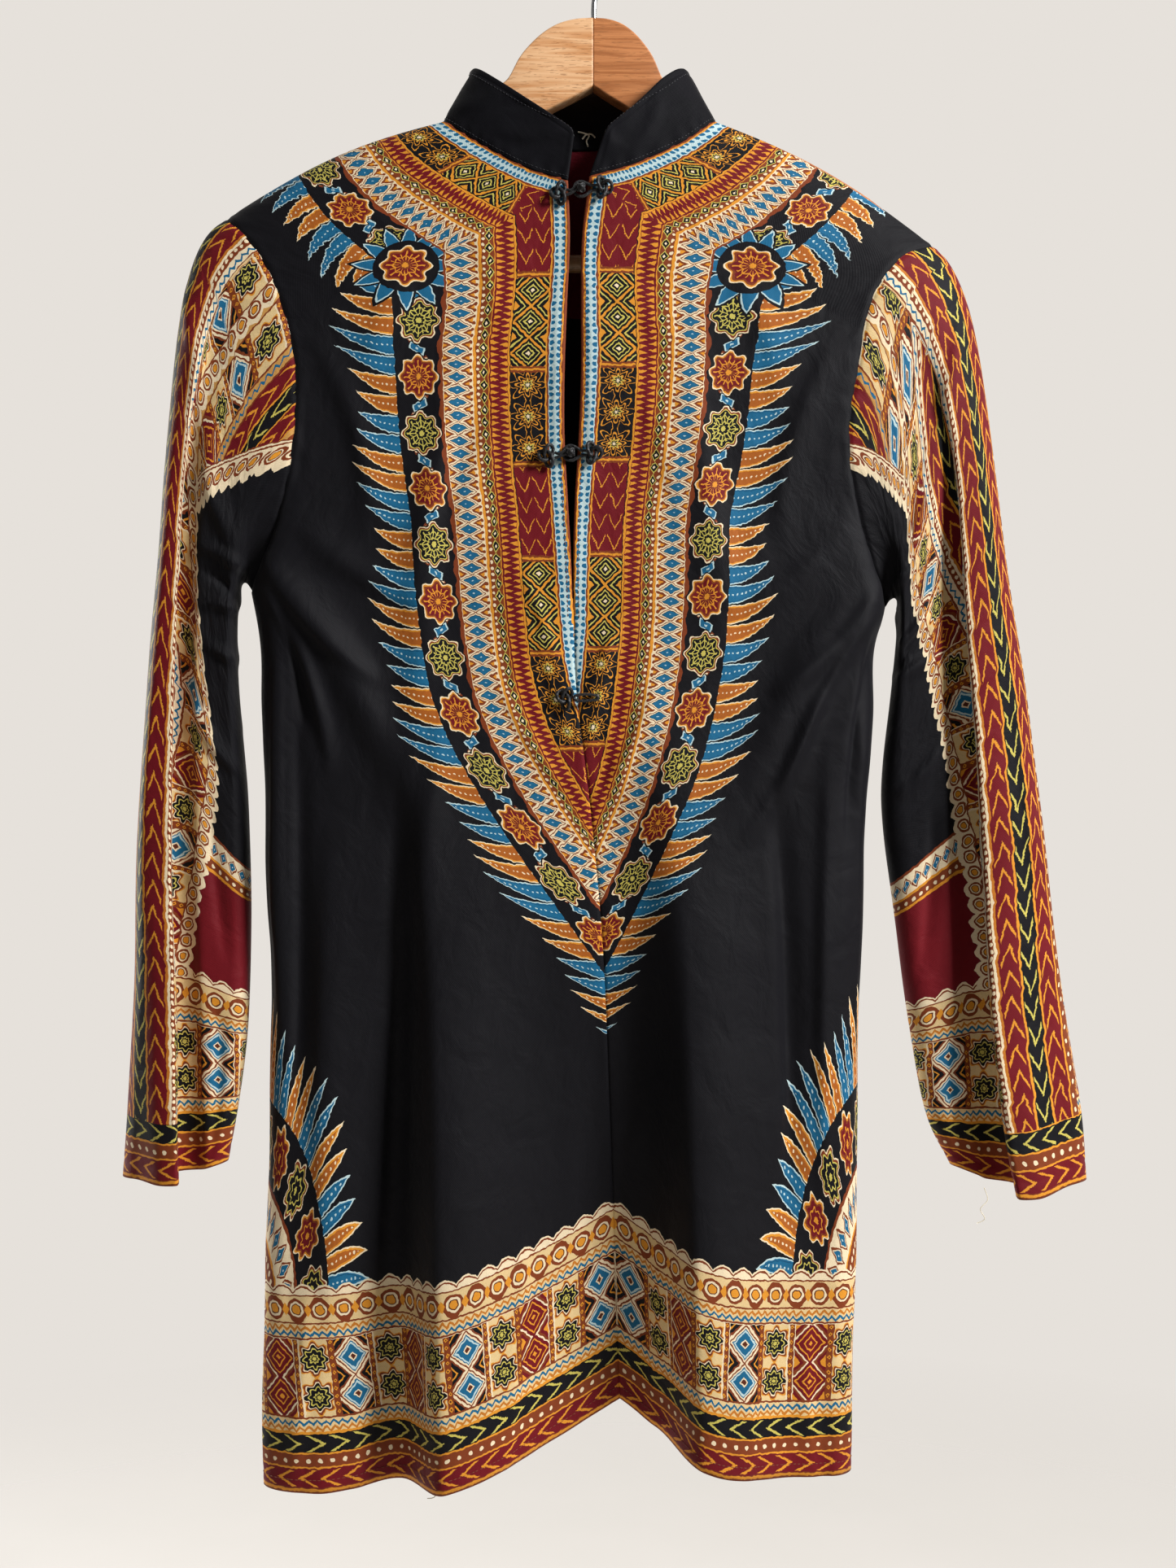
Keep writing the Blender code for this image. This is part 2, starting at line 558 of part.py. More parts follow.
def make_arm(name, side, hand):
    """One arm of the hanger: rounded sections from the mitre to the end that takes the bar."""
    sign = -1 if hand == "left" else 1
    hump = table(HUMP_COLUMNS, HUMP)
    neck_out = abs(table(CENTRE_COLUMNS, CENTRE)[hand + "_x"][0] - WOOD_MITRE)
    edge = table(SIDE_COLUMNS, side)
    in_x = table(CENTRE_COLUMNS, CENTRE)[hand + "_x"][0]
    ridge_xs = edge["front_x"][0] + (in_x - edge["front_x"][0]) * np.array(ACROSS)
    outs = np.sort(np.abs(ridge_xs - WOOD_MITRE))
    boot = ARM_REACH - BOOT_LENGTH
    outs = outs[(outs >= neck_out) & (outs < ARM_REACH - 3)]
    outs = outs[np.abs(outs - boot) > 1]
    outs = np.unique(np.concatenate([outs, [boot - BOOT_STEP, boot, ARM_REACH - 2, ARM_REACH]]))
    spread = neck_out / HUMP_NECK
    stations = [(out * spread, top, under) for out, top, under in HUMP]
    for out in outs:
        top = ridge_height(side, hand, WOOD_MITRE + sign * out) - CLOTH - SEAT
        if out >= boot:
            under = BOOT_BOTTOM
        else:
            under = top - ARM_DEPTH
        top -= ARM_EASE * max(out - boot, 0)
        if out == ARM_REACH:
            top -= 5
            under += 5
        stations.append((out, top, under))
    stations[0] = (SEAM / 2, stations[0][1], stations[0][2])
    half = WOOD_HALF
    points = []
    for out, top, under in stations:
        x = WOOD_MITRE + sign * out
        slim = 1.0 if out < ARM_REACH else 0.7
        section = ((0, top), (5, top - 3), (half, top - 8), (half, under + 3), (4, under),
                   (-4, under), (-half, under + 3), (-half, top - 8), (-5, top - 3))
        points.extend((x, y * slim, z) for y, z in section)
    count = len(section)
    faces = []
    for i in range(len(stations) - 1):
        for j in range(count):
            k = (j + 1) % count
            faces.append((i * count + j, i * count + k, (i + 1) * count + k, (i + 1) * count + j))
    last = (len(stations) - 1) * count
    faces.append(tuple(reversed(range(count))))
    faces.append(tuple(range(last, last + count)))
    if sign > 0:
        faces = [tuple(reversed(face)) for face in faces]
    add_object(name, points, faces, (0.62, 0.36, 0.17), 0.45)


def tube(path, radius, sides, closed=False):
    """A round tube along a path; the radius may be one number or one for each point."""
    path = np.asarray(path, float)
    count = len(path)
    radius = np.broadcast_to(np.asarray(radius, float), (count,))
    if closed:
        run = np.roll(path, -1, axis=0) - np.roll(path, 1, axis=0)
    else:
        run = np.gradient(path, axis=0)
    run /= np.linalg.norm(run, axis=1, keepdims=True)
    depth = np.array([0, 1.0, 0])
    first = np.cross(run, depth)
    first /= np.linalg.norm(first, axis=1, keepdims=True)
    second = np.cross(run, first)
    angle = 2 * np.pi * (np.arange(sides) + 0.5) / sides
    ring = (path[:, None] + radius[:, None, None]
            * (np.cos(angle)[None, :, None] * first[:, None]
               + np.sin(angle)[None, :, None] * second[:, None]))
    faces = []
    for i in range(count if closed else count - 1):
        a, b = i * sides, ((i + 1) % count) * sides
        for j in range(sides):
            k = (j + 1) % sides
            faces.append((a + j, a + k, b + k, b + j))
    if not closed:
        last = (count - 1) * sides
        faces.append(tuple(reversed(range(sides))))
        faces.append(tuple(range(last, last + sides)))
    return ring.reshape(-1, 3), faces


def make_bar():
    half = ARM_REACH - BOOT_LENGTH - BOOT_STEP - SEAM
    path = [(WOOD_MITRE - half, 0, BAR_HEIGHT), (WOOD_MITRE + half, 0, BAR_HEIGHT)]
    points, faces = tube(path, BAR_RADIUS, 16)
    add_object("trouser_bar", points, faces, (0.66, 0.42, 0.22), 0.5)


def make_hook():
    """A wire from the wood up one side of a circle, over its top and down to a round tip."""
    middle = HOOK_RADIUS - WIRE_RADIUS
    angles = np.radians(np.linspace(-48, 205, 23))
    bend = np.stack([HOOK_RADIUS * np.cos(angles), 0 * angles,
                     HOOK_RADIUS * np.sin(angles) - middle], axis=-1)
    stem = np.array([(0, 0, HUMP[0][1] + SEAM), (0, 0, -60), (0.8, 0, -53), (4.2, 0, -46.5),
                     (9.4, 0, -41)])
    tip = bend[-1] + (bend[-1] - bend[-2]) * 0.3
    path = np.concatenate([stem, bend, [tip]])
    radius = np.full(len(path), WIRE_RADIUS)
    radius[-1] = WIRE_RADIUS * 0.55
    points, faces = tube(path, radius, 8)
    add_object("hook", points, faces, (0.55, 0.55, 0.56), 0.3, 1.0)


def cloth_front(fronts, x, z, reach):
    """The foremost depth of the fronts within reach of a place."""
    near = []
    for points, _ in fronts:
        flat = points.reshape(-1, 3)
        away = np.hypot(flat[:, 0] - x, flat[:, 2] - z)
        near.append(flat[away < reach, 1])
    return min(values.min() for values in near if len(values))


def clover_path(x, z, depth, turn):
    """Three loops of one cord, which passes over and under itself between them."""
    t = np.linspace(0, 2 * np.pi, 36, endpoint=False)
    u = CLOVER_SCALE * (np.sin(t) + 2 * np.sin(2 * t))
    v = CLOVER_SCALE * (np.cos(t) - 2 * np.cos(2 * t))
    lift = CLOVER_SCALE * np.sin(3 * t)
    c, s = math.cos(turn), math.sin(turn)
    return np.stack([x + c * u - s * v, depth + lift, z + s * u + c * v], axis=-1)


def add_cord(name, path, radius, sides, closed=False):
    points, faces = tube(path, radius, sides, closed)
    add_object(name, points, faces, (0.008, 0.008, 0.01), 0.6)


def add_clover(name, x, z, depth, turn):
    add_cord(name, clover_path(x, z, depth, turn), CLOVER_CORD, 5, True)


def arc(x, depth, z, radius, angles):
    """Points on a circle that faces the front."""
    return [(x + radius * math.cos(a), depth, z + radius * math.sin(a)) for a in np.radians(angles)]


def make_frog(record, fronts):
    """Two clovers, the knot on its stem and the loop that it is pushed through."""
    f = dict(zip(FROG_COLUMNS, record))
    thick = CLOVER_CORD + CLOVER_SCALE
    left_y = cloth_front(fronts, f["left_x"], f["left_z"], 30) - thick - SEAM
    right_y = cloth_front(fronts, f["right_x"], f["right_z"], 30) - thick - SEAM
    add_clover(f["name"] + "_left", f["left_x"], f["left_z"], left_y, 0.5)
    add_clover(f["name"] + "_right", f["right_x"], f["right_z"], right_y, -0.5)
    base = min(left_y, right_y)
    start = f["left_x"] + CLOVER_SIZE + SEAM
    over = base - STEM_HALF
    slope = np.array([f["knot_x"] - KNOT_RADIUS - start, 0, f["knot_z"] - f["left_z"]])
    stem = [np.array([start, over, f["left_z"]]) + slope * share for share in (0, 0.5, 0.9)]
    turns = np.linspace(-0.92, 1, 8) * 0.5 * np.pi
    middle = np.array([f["knot_x"], over - BALL_SET, f["knot_z"]])
    ball = [middle + (KNOT_RADIUS * math.sin(a), 0, 0) for a in turns]
    radii = [CORD_RADIUS] * 3 + [max(KNOT_RADIUS * math.cos(a), 0.5) for a in turns]
    add_cord(f["name"] + "_knot", stem + ball, radii, 8)
    half = KNOT_RADIUS + CORD_RADIUS + SEAM
    under = base + thick - CORD_RADIUS
    right = f["right_x"] - CLOVER_SIZE - SEAM - CORD_RADIUS
    loop = [(right, under, f["right_z"] + STEM_HALF)]
    loop += arc(f["knot_x"], under, f["knot_z"], half, np.linspace(60, 300, 11))
    loop += [(right, under, f["right_z"] - STEM_HALF)]
    add_cord(f["name"] + "_loop", loop, CORD_RADIUS, 6)


def make_bar_frog(fronts):
    """The lowest frog: a clover and a long flat loop across the end of the slit."""
    f = BAR_FROG
    depth = cloth_front(fronts, f["clover_x"], f["clover_z"], 34) - CLOVER_CORD - CLOVER_SCALE - SEAM
    add_clover("frog_3_left", f["clover_x"], f["clover_z"], depth, 0.2)
    start = f["clover_x"] + CLOVER_SIZE + SEAM + CORD_RADIUS
    right = arc(f["end_x"], depth, f["bar_z"], STEM_HALF, np.linspace(-90, 90, 7))
    left = arc(start, depth, f["bar_z"], STEM_HALF, np.linspace(90, 270, 7))
    add_cord("frog_3_loop", right + left, CORD_RADIUS, 6, True)


def main():
    for obj in list(bpy.data.objects):
        bpy.data.objects.remove(obj)
    halves = make_body()
    fronts = (halves["front_left"], halves["front_right"])
    make_sleeve("sleeve_left", LEFT_SLEEVE, halves["front_left"], halves["back_left"])
    make_sleeve("sleeve_right", RIGHT_SLEEVE, halves["front_right"], halves["back_right"])
    make_collar()
    make_arm("hanger_arm_left", LEFT_SIDE, "left")
    make_arm("hanger_arm_right", RIGHT_SIDE, "right")
    make_bar()
    make_hook()
    for record in FROGS:
        make_frog(record, fronts)
    make_bar_frog(fronts)


main()
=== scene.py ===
# The looks of a dashiki tunic that hangs on a wooden hanger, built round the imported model.
# Sizes and tables are in millimetres and become metres when a mesh is made. Front faces -Y.
import functools
import math

import bpy
import numpy as np
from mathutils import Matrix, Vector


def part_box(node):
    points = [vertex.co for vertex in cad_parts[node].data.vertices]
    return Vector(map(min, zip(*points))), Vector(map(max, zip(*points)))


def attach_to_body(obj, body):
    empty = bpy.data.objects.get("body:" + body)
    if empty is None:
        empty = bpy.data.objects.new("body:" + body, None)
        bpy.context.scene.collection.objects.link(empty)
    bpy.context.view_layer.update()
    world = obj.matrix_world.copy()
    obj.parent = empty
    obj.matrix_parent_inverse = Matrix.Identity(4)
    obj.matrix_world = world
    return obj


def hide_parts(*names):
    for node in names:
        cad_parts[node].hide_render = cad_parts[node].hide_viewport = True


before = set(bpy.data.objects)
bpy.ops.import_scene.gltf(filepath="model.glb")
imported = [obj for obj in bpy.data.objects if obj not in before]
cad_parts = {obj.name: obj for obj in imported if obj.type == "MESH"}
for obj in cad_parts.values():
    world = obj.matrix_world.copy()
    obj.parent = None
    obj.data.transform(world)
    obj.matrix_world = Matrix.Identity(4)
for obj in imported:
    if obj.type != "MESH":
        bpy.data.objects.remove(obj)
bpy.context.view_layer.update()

mm = 0.001
body = "root"

print("camera and light")
photo = {"width": 1445, "height": 1927, "focalPixels": 2136, "place": (-4.0, -1200.0, -595.0)}
camera = bpy.data.objects.new("camera", bpy.data.cameras.new("camera"))
camera.location = np.array(photo["place"]) * mm
camera.rotation_euler = (math.radians(90), 0, 0)
camera.data.sensor_fit = "VERTICAL"
camera.data.sensor_height = 24
camera.data.lens = 24 * photo["focalPixels"] / photo["height"]
bpy.context.scene.collection.objects.link(camera)
bpy.context.scene.camera = camera

# Pieces of the cut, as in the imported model. A row is a record for each row that shapes an edge.
tunic = {
    "cloth": 0.7, "shoulderBow": 9.0, "sideRoll": 17.0, "middle": -10.0,
    "cornerRow": 6.0, "armRow": 12.0, "hemRow": 23.0,
    # power that rows curve by at the hem, rows in which the shoulder's bow dies out, and the
    # shares of the width in which folds fade out at the side and the centre
    "hemCurve": 1.6, "bowRows": 8, "fadeSide": 0.1, "fadeCentre": 0.12,
    "sideColumns": ("row", "z", "frontX", "frontY", "frontFace", "backX", "backY", "backFace"),
    "leftSide": (
        (0, -205, -252.5, 0, 0, -252.5, 0, 0),
        (1, -207, -251.5, -7, -7, -252, 6, 6),
        (2, -213, -247, -13, -13, -249, 10, 10),
        (3, -223, -237, -18, -18, -244, 12, 12),
        (4, -238, -226, -21, -21, -236, 14, 14),
        (5, -257, -216.5, -23, -23, -228, 15, 15),
        (6, -283, -208, -24, -24, -220, 16, 16),
        (7, -312, -202.5, -25, -25, -214, 16, 16),
        (8, -345, -202.5, -25, -25, -212, 16, 16),
        (9, -381, -206.5, -24, -24, -214, 15.5, 16),
        (10, -418, -216, -20.5, -24, -221, 14, 16),
        (11, -448, -228.5, -12, -25, -230, 9, 16),
        (12, -464, -235, 0, -25, -235, 0, 16),
        (13, -500, -229.5, 0, -25, -229.5, 0, 16),
        (14, -545, -228, 0, -25, -228, 0, 16),
        (16, -640, -226, 0, -24, -226, 0, 17),
        (18, -742, -223, 0, -22, -223, 0, 17),
        (20, -860, -224, 0, -20, -224, 0, 18),
        (22, -1000, -228, 0, -18, -228, 0, 18),
        (23, -1076, -228, 0, -17, -228, 0, 18)),
    "rightSide": (
        (0, -224, 235, 0, 0, 235, 0, 0),
        (1, -226, 231, -7, -7, 233.5, 6, 6),
        (2, -230, 220, -13, -13, 229, 10, 10),
        (3, -238, 208, -18, -18, 222, 12, 12),
        (4, -250, 198, -21, -21, 213, 14, 14),
        (5, -266, 189, -23, -23, 204, 15, 15),
        (6, -288, 183, -24, -24, 197, 16, 16),
        (7, -314, 179, -25, -25, 191, 16, 16),
        (8, -343, 174, -25, -25, 187, 16, 16),
        (9, -378, 174, -24, -24, 186, 15.5, 16),
        (10, -417, 182, -20.5, -24, 189, 14, 16),
        (11, -454, 194, -12, -25, 196, 9, 16),
        (12, -474, 200.5, 0, -25, 200.5, 0, 16),
        (13, -505, 194, 0, -25, 194, 0, 16),
        (14, -548, 191.5, 0, -25, 191.5, 0, 16),
        (16, -640, 184, 0, -24, 184, 0, 17),
        (18, -742, 181.5, 0, -22, 181.5, 0, 17),
        (20, -858, 182, 0, -20, 182, 0, 18),
        (22, -992, 178.5, 0, -18, 178.5, 0, 18),
        (23, -1066, 177.5, 0, -17, 177.5, 0, 18)),
    "centreColumns": ("row", "leftX", "leftZ", "rightX", "rightZ", "frontY", "backX", "backY", "backZ"),
    "centre": (
        (0, -104, -138.4, 84, -138.4, 0, 94, 0, -138.4),
        (1, -101.5, -140.5, 81.5, -140.5, -8, 91.5, 6, -139.8),
        (2, -95, -146.5, 75, -146.5, -14, 83, 11, -142),
        (3, -82, -156, 63, -156, -18, 68, 14, -145),
        (4, -64, -167.5, 46, -166, -22, 47, 16.5, -148),
        (5, -42, -179, 24, -176, -25, 24, 18, -150),
        (6, -17.5, -187, -3, -184, -27, 0, 18.5, -151),
        (7, -16.2, -227, -8.2, -227, -27, 0, 19, -190),
        (8, -18.2, -272, -8.8, -272, -27, 0, 19, -235),
        (9, -19.8, -318, -8.8, -318, -27, 0, 19, -282),
        (10, -19.8, -362, -10.5, -362, -27, 0, 19, -330),
        (11, -17.5, -405, -13, -405, -28, 0, 19, -378),
        (12, -15.2, -448, -14, -448, -29, 0, 19, -425),
        (13, -14, -486, -13.2, -486, -28, 0, 19, -470),
        (14, -12.8, -524, -12.1, -524, -27, 0, 19, -516),
        (16, -3.3, -606, -2.7, -606, -24, 0, 20, -614),
        (18, 5.7, -705, 6.3, -705, -18, 0, 20, -712),
        (20, 10.7, -822, 11.3, -822, -9, 0, 21, -820),
        (22, 15.2, -950, 15.8, -950, 0, 0, 21, -938),
        (23, 17.7, -1021, 18.3, -1021, 4, 0, 21, -1003)),
    # A fold runs down from its first place across (0 the side, 1 the centre) to its last one.
    "foldColumns": ("topRow", "topAcross", "lowRow", "lowAcross", "height", "side", "centre"),
    "frontLeftFolds": (
        (13.0, 0.30, 26.0, 0.15, 12, 0.10, 0.12),
        (14.5, 0.42, 24.0, 0.39, -7, 0.10, 0.05),
        (12.5, 0.50, 24.0, 0.53, 46, 0.09, 0.24),
        (7.0, 0.58, 16.0, 0.50, 5, 0.06, 0.06),
        (10.5, 0.02, 16.5, 0.55, 7, 0.07, 0.07)),
    "frontRightFolds": (
        (12.5, 0.70, 24.0, 0.65, 48, 0.32, 0.13),
        (11.0, 0.03, 16.5, 0.52, 6, 0.07, 0.07),
        (6.5, 0.60, 15.0, 0.50, 4, 0.06, 0.07)),
    "backLeftFolds": (
        (13.0, 0.30, 24.5, 0.26, 7, 0.11, 0.13),
        (14.0, 0.66, 24.5, 0.70, 5, 0.10, 0.12)),
    "backRightFolds": (
        (13.5, 0.38, 24.5, 0.34, 6, 0.12, 0.12),
        (12.5, 0.72, 24.5, 0.76, 7, 0.10, 0.12)),
}


def table(columns, rows):
    # a dictionary of arrays, one for each named column
    return {name: np.array([row[i] for row in rows], float) for i, name in enumerate(columns)}


def hermite(stations, values, at):
    # cubic curve through the values, the slope at each taken from its neighbours
    slopes = np.gradient(values, stations)
    at = np.clip(np.asarray(at, float), stations[0], stations[-1])
    k = np.clip(np.searchsorted(stations, at, side="right") - 1, 0, len(stations) - 2)
    width = stations[k + 1] - stations[k]
    t = (at - stations[k]) / width
    return ((2 * t ** 3 - 3 * t ** 2 + 1) * values[k] + (t ** 3 - 2 * t ** 2 + t) * width * slopes[k]
            + (3 * t ** 2 - 2 * t ** 3) * values[k + 1] + (t ** 3 - t ** 2) * width * slopes[k + 1])


def column(source, name, at, corner=None):
    # one column of a table at any row, with a sharp turn at the corner's row if there is one
    rows = source["row"]
    if corner is None or rows[-1] <= corner:
        return hermite(rows, source[name], at)
    above, below = rows <= corner, rows >= corner
    return np.where(np.asarray(at) <= corner, hermite(rows[above], source[name][above], at),
                    hermite(rows[below], source[name][below], at))


def smooth(x):
    # rises from 0 to 1 and is level at both ends
    x = np.clip(x, 0, 1)
    return x * x * (3 - 2 * x)


def quarterRoll(x):
    # rises from 0 to 1 as a quarter of a circle does, then stays
    return np.sqrt(np.clip(1 - (1 - np.clip(x, 0, 1)) ** 2, 0, 1))


def bell(x, width):
    # 1 in the middle, and next to nothing at twice the width
    return np.exp(-(x / width) ** 2)


def foldHeight(folds, row, across):
    # sum of the folds: a bell across each, wider to one side, that grows from its top row
    total = np.zeros(np.broadcast(row, across).shape)
    for record in folds:
        f = dict(zip(tunic["foldColumns"], record))
        along = (row - f["topRow"]) / (f["lowRow"] - f["topRow"])
        off = across - f["topAcross"] - (f["lowAcross"] - f["topAcross"]) * along
        runsOut = f["lowRow"] >= tunic["hemRow"]
        strength = smooth(along) if runsOut else np.sin(np.pi * np.clip(along, 0, 1)) ** 2
        total += f["height"] * strength * bell(off, np.where(off < 0, f["side"], f["centre"]))
    return total


def panelPoints(hand, face, rows, across):
    # points of a half panel: straight from its side edge to its centre edge at each row, rolled
    # round at the side seam, bowed along the shoulder, and pushed out by its folds
    edge = table(tunic["sideColumns"], tunic[hand + "Side"])
    centre = table(tunic["centreColumns"], tunic["centre"])
    armRow, cornerRow, hemRow = tunic["armRow"], tunic["cornerRow"], tunic["hemRow"]
    row, place = np.meshgrid(rows, across, indexing="ij")
    outX = column(edge, face + "X", row, armRow)
    outY = column(edge, face + "Y", row, armRow)
    outZ = column(edge, "z", row, armRow)
    faceY = column(edge, face + "Face", row)
    if face == "front":
        inX = column(centre, hand + "X", row, cornerRow)
        inZ = column(centre, hand + "Z", row, cornerRow)
    else:
        sign = -1 if hand == "left" else 1
        inX = tunic["middle"] + sign * column(centre, "backX", row, cornerRow)
        inZ = column(centre, "backZ", row, cornerRow)
    inY = column(centre, face + "Y", row, cornerRow)
    curve = 1 + tunic["hemCurve"] * smooth((row - armRow) / (hemRow - armRow))
    bow = np.cos(0.5 * np.pi * np.clip(row / tunic["bowRows"], 0, 1)) ** 2
    x = outX + (inX - outX) * place
    z = outZ + (inZ - outZ) * place ** curve + tunic["shoulderBow"] * bow * np.sin(np.pi * place)
    roll = quarterRoll(place * np.abs(inX - outX) / tunic["sideRoll"])
    y = faceY + (inY - faceY) * place + (outY - faceY) * (1 - roll)
    seamFade = smooth(place / tunic["fadeSide"]) * smooth((1 - place) / tunic["fadeCentre"])
    outward = -1 if face == "front" else 1
    y = y + outward * foldHeight(tunic[face + hand.capitalize() + "Folds"], row, place) * seamFade
    return np.stack([x, y, z], axis=-1)


def unit(vectors):
    return vectors / np.maximum(np.linalg.norm(vectors, axis=-1, keepdims=True), 1e-9)


def gridNormals(points, closed=False):
    # unit normals of a grid, square to the run of its rows and of its columns
    along = np.gradient(points, axis=0)
    if closed:
        around = np.roll(points, -1, axis=1) - np.roll(points, 1, axis=1)
    else:
        around = np.gradient(points, axis=1)
    return unit(np.cross(along, around))


def pointed(normals, outward):
    # the normals, turned over where as a whole they point against the outward vectors
    return -normals if np.sum(normals * outward) < 0 else normals


def creaseHeight(creases, x, z):
    # sum of soft ridges (troughs where negative) from (x0, z0) to (x1, z1): each bows sideways
    # by its bend, has a bell across it that is steeper on one side, and dies out at both ends
    total = np.zeros(x.shape)
    for x0, z0, x1, z1, bend, width, height in creases:
        length = math.hypot(x1 - x0, z1 - z0)
        runX, runZ = (x1 - x0) / length, (z1 - z0) / length
        t = ((x - x0) * runX + (z - z0) * runZ) / length
        off = (x - x0) * runZ - (z - z0) * runX - bend * 4 * t * (1 - t)
        fade = np.sin(np.pi * np.clip(t, 0, 1)) ** 0.8
        total += height * fade * bell(off, np.where(off < 0, width, 0.6 * width))
    return total


def distanceTo(path, points):
    # nearest distance of each point to a path
    best = np.full(points.shape[:-1], 1e9)
    for a, run in zip(path, path[1:] - path[:-1]):
        t = np.clip((points - a) @ run / (run @ run), 0, 1)
        best = np.minimum(best, np.linalg.norm(points - a - t[..., None] * run, axis=-1))
    return best


def runAcross(points, axis):
    # length of cloth from the first point of each row or column
    step = np.linalg.norm(np.diff(points, axis=axis), axis=-1)
    zero = np.zeros_like(np.take(step, [0], axis=axis))
    return np.concatenate([zero, np.cumsum(step, axis=axis)], axis=axis)


def gridIndex(points):
    # the number of each point of a grid
    return np.arange(points[..., 0].size).reshape(points.shape[:2])


def gridQuads(index, closed=False):
    # the faces of a grid; closed joins its last column to its first
    spans = index.shape[1] if closed else index.shape[1] - 1
    here = index[:, :spans]
    after = np.roll(index, -1, axis=1)[:, :spans]
    return np.stack([here[:-1], here[1:], after[1:], after[:-1]], axis=-1).reshape(-1, 4)


def endCaps(count, sides):
    # both ends of a tube of this many rings, each closed by a ladder of quads
    rungs = np.arange(sides // 2 - 1)
    cap = np.stack([rungs, rungs + 1, sides - 2 - rungs, sides - 1 - rungs], axis=-1)
    return np.concatenate([cap[:, ::-1], cap + (count - 1) * sides])


def makeMesh(name, points, faces, materials, slots=None, layers=None, smoothShade=True):
    # a mesh object from points in millimetres; faces are rows of point numbers of one length
    mesh = bpy.data.meshes.new(name)
    faces = np.asarray(faces)
    mesh.vertices.add(len(points))
    mesh.vertices.foreach_set("co", (np.asarray(points, np.float32) * mm).ravel())
    mesh.loops.add(faces.size)
    mesh.loops.foreach_set("vertex_index", faces.ravel().astype(np.int32))
    mesh.polygons.add(len(faces))
    mesh.polygons.foreach_set("loop_start", np.arange(0, faces.size, faces.shape[1], dtype=np.int32))
    for material in materials:
        mesh.materials.append(material)
    if slots is not None:
        mesh.polygons.foreach_set("material_index", np.asarray(slots, np.int32))
    for key, values in (layers or {}).items():
        layer = mesh.attributes.new(key, "FLOAT_VECTOR", "POINT")
        layer.data.foreach_set("vector", np.asarray(values, np.float32).ravel())
    mesh.update(calc_edges=True)
    mesh.validate()
    if smoothShade:
        mesh.shade_smooth()
    piece = bpy.data.objects.new(name, mesh)
    bpy.context.scene.collection.objects.link(piece)
    return piece


def makeWall(name, outer, normals, thickness, quads, materials, slots, layers, inside):
    # cloth with two faces: the outer points, the inner ones moved in by the thickness, and a
    # strip round every open edge; the inner face takes the inside's slot
    count = len(outer)
    both = np.concatenate([outer, outer - normals * np.reshape(thickness, (-1, 1))])
    a, b = quads.ravel(), np.roll(quads, -1, axis=1).ravel()
    owner = np.repeat(np.arange(len(quads)), 4)
    single = ~np.isin(a * count + b, b * count + a)
    a, b, owner = a[single], b[single], owner[single]
    rim = np.stack([b, a, a + count, b + count], axis=1)
    faces = np.concatenate([quads, quads[:, ::-1] + count, rim])
    slots = np.concatenate([slots, np.full(len(quads), inside), slots[owner]])
    first = quads[len(quads) // 2]
    turn = np.cross(outer[first[1]] - outer[first[0]], outer[first[2]] - outer[first[1]])
    if turn @ normals[first[0]] < 0:
        faces = faces[:, ::-1]
    layers = {key: np.concatenate([values, values]) for key, values in layers.items()}
    return makeMesh(name, both, faces, materials, slots, layers)


def attach(piece, node=None):
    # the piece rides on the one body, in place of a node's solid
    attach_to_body(piece, body)
    if node:
        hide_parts(node)
    return piece


print("materials")
dyes = {
    "black": "#0d0c11", "wine": "#6d101a", "rust": "#7f3a1b", "brown": "#5a2816", "gold": "#dd922c",
    "amber": "#c07424", "tan": "#cb9650", "cream": "#eedab6", "teal": "#1b648a", "pale": "#bcd3d4",
    "lime": "#c8ba5a", "straw": "#e2c48e", "ochre": "#a95d20", "navy": "#104a6b",
}
# how far each ornament reaches over the cloth, in mm
ornament = {
    "yokeReach": 146.0, "yokeRings": 77.5, "yokeTip": 381.0, "yokeSlope": 0.68, "yokeBend": 35.0,
    "neckRound": 95.0, "neckMiddle": -130.0, "cornerOut": 99.0, "cornerTurn": 52.0,
    "borderSeam": 135.5, "borderTop": 152.0, "headFoot": 408.0,
    "sunWide": 86.0, "sunHigh": 215.0, "sunFoot": 120.0, "sunReach": 1.04,
    # the yoke's bands are wider by these shares at these heights below the slit's top
    "widenDown": (-60, 0, 110, 230, 400), "widenBy": (0.96, 1.02, 1.2, 1.02, 0.97),
    # a distance at which no ornament is printed
    "nowhere": 999.0,
}
nodeKinds = {
    "MIX": "ShaderNodeMix", "attribute": "ShaderNodeAttribute", "split": "ShaderNodeSeparateXYZ",
    "join": "ShaderNodeCombineXYZ", "vector": "ShaderNodeVectorMath", "noise": "ShaderNodeTexNoise",
    "bump": "ShaderNodeBump", "place": "ShaderNodeTexCoord", "turn": "ShaderNodeMapping",
    "ramp": "ShaderNodeValToRGB",
}


def linear(code):
    # linear red, green, blue and alpha of an sRGB hex colour or of a dye's name
    code = dyes.get(code, code)
    c = np.array([int(code[i:i + 2], 16) for i in (1, 3, 5)]) / 255
    return (*np.where(c <= 0.04045, c / 12.92, ((c + 0.055) / 1.055) ** 2.4), 1)


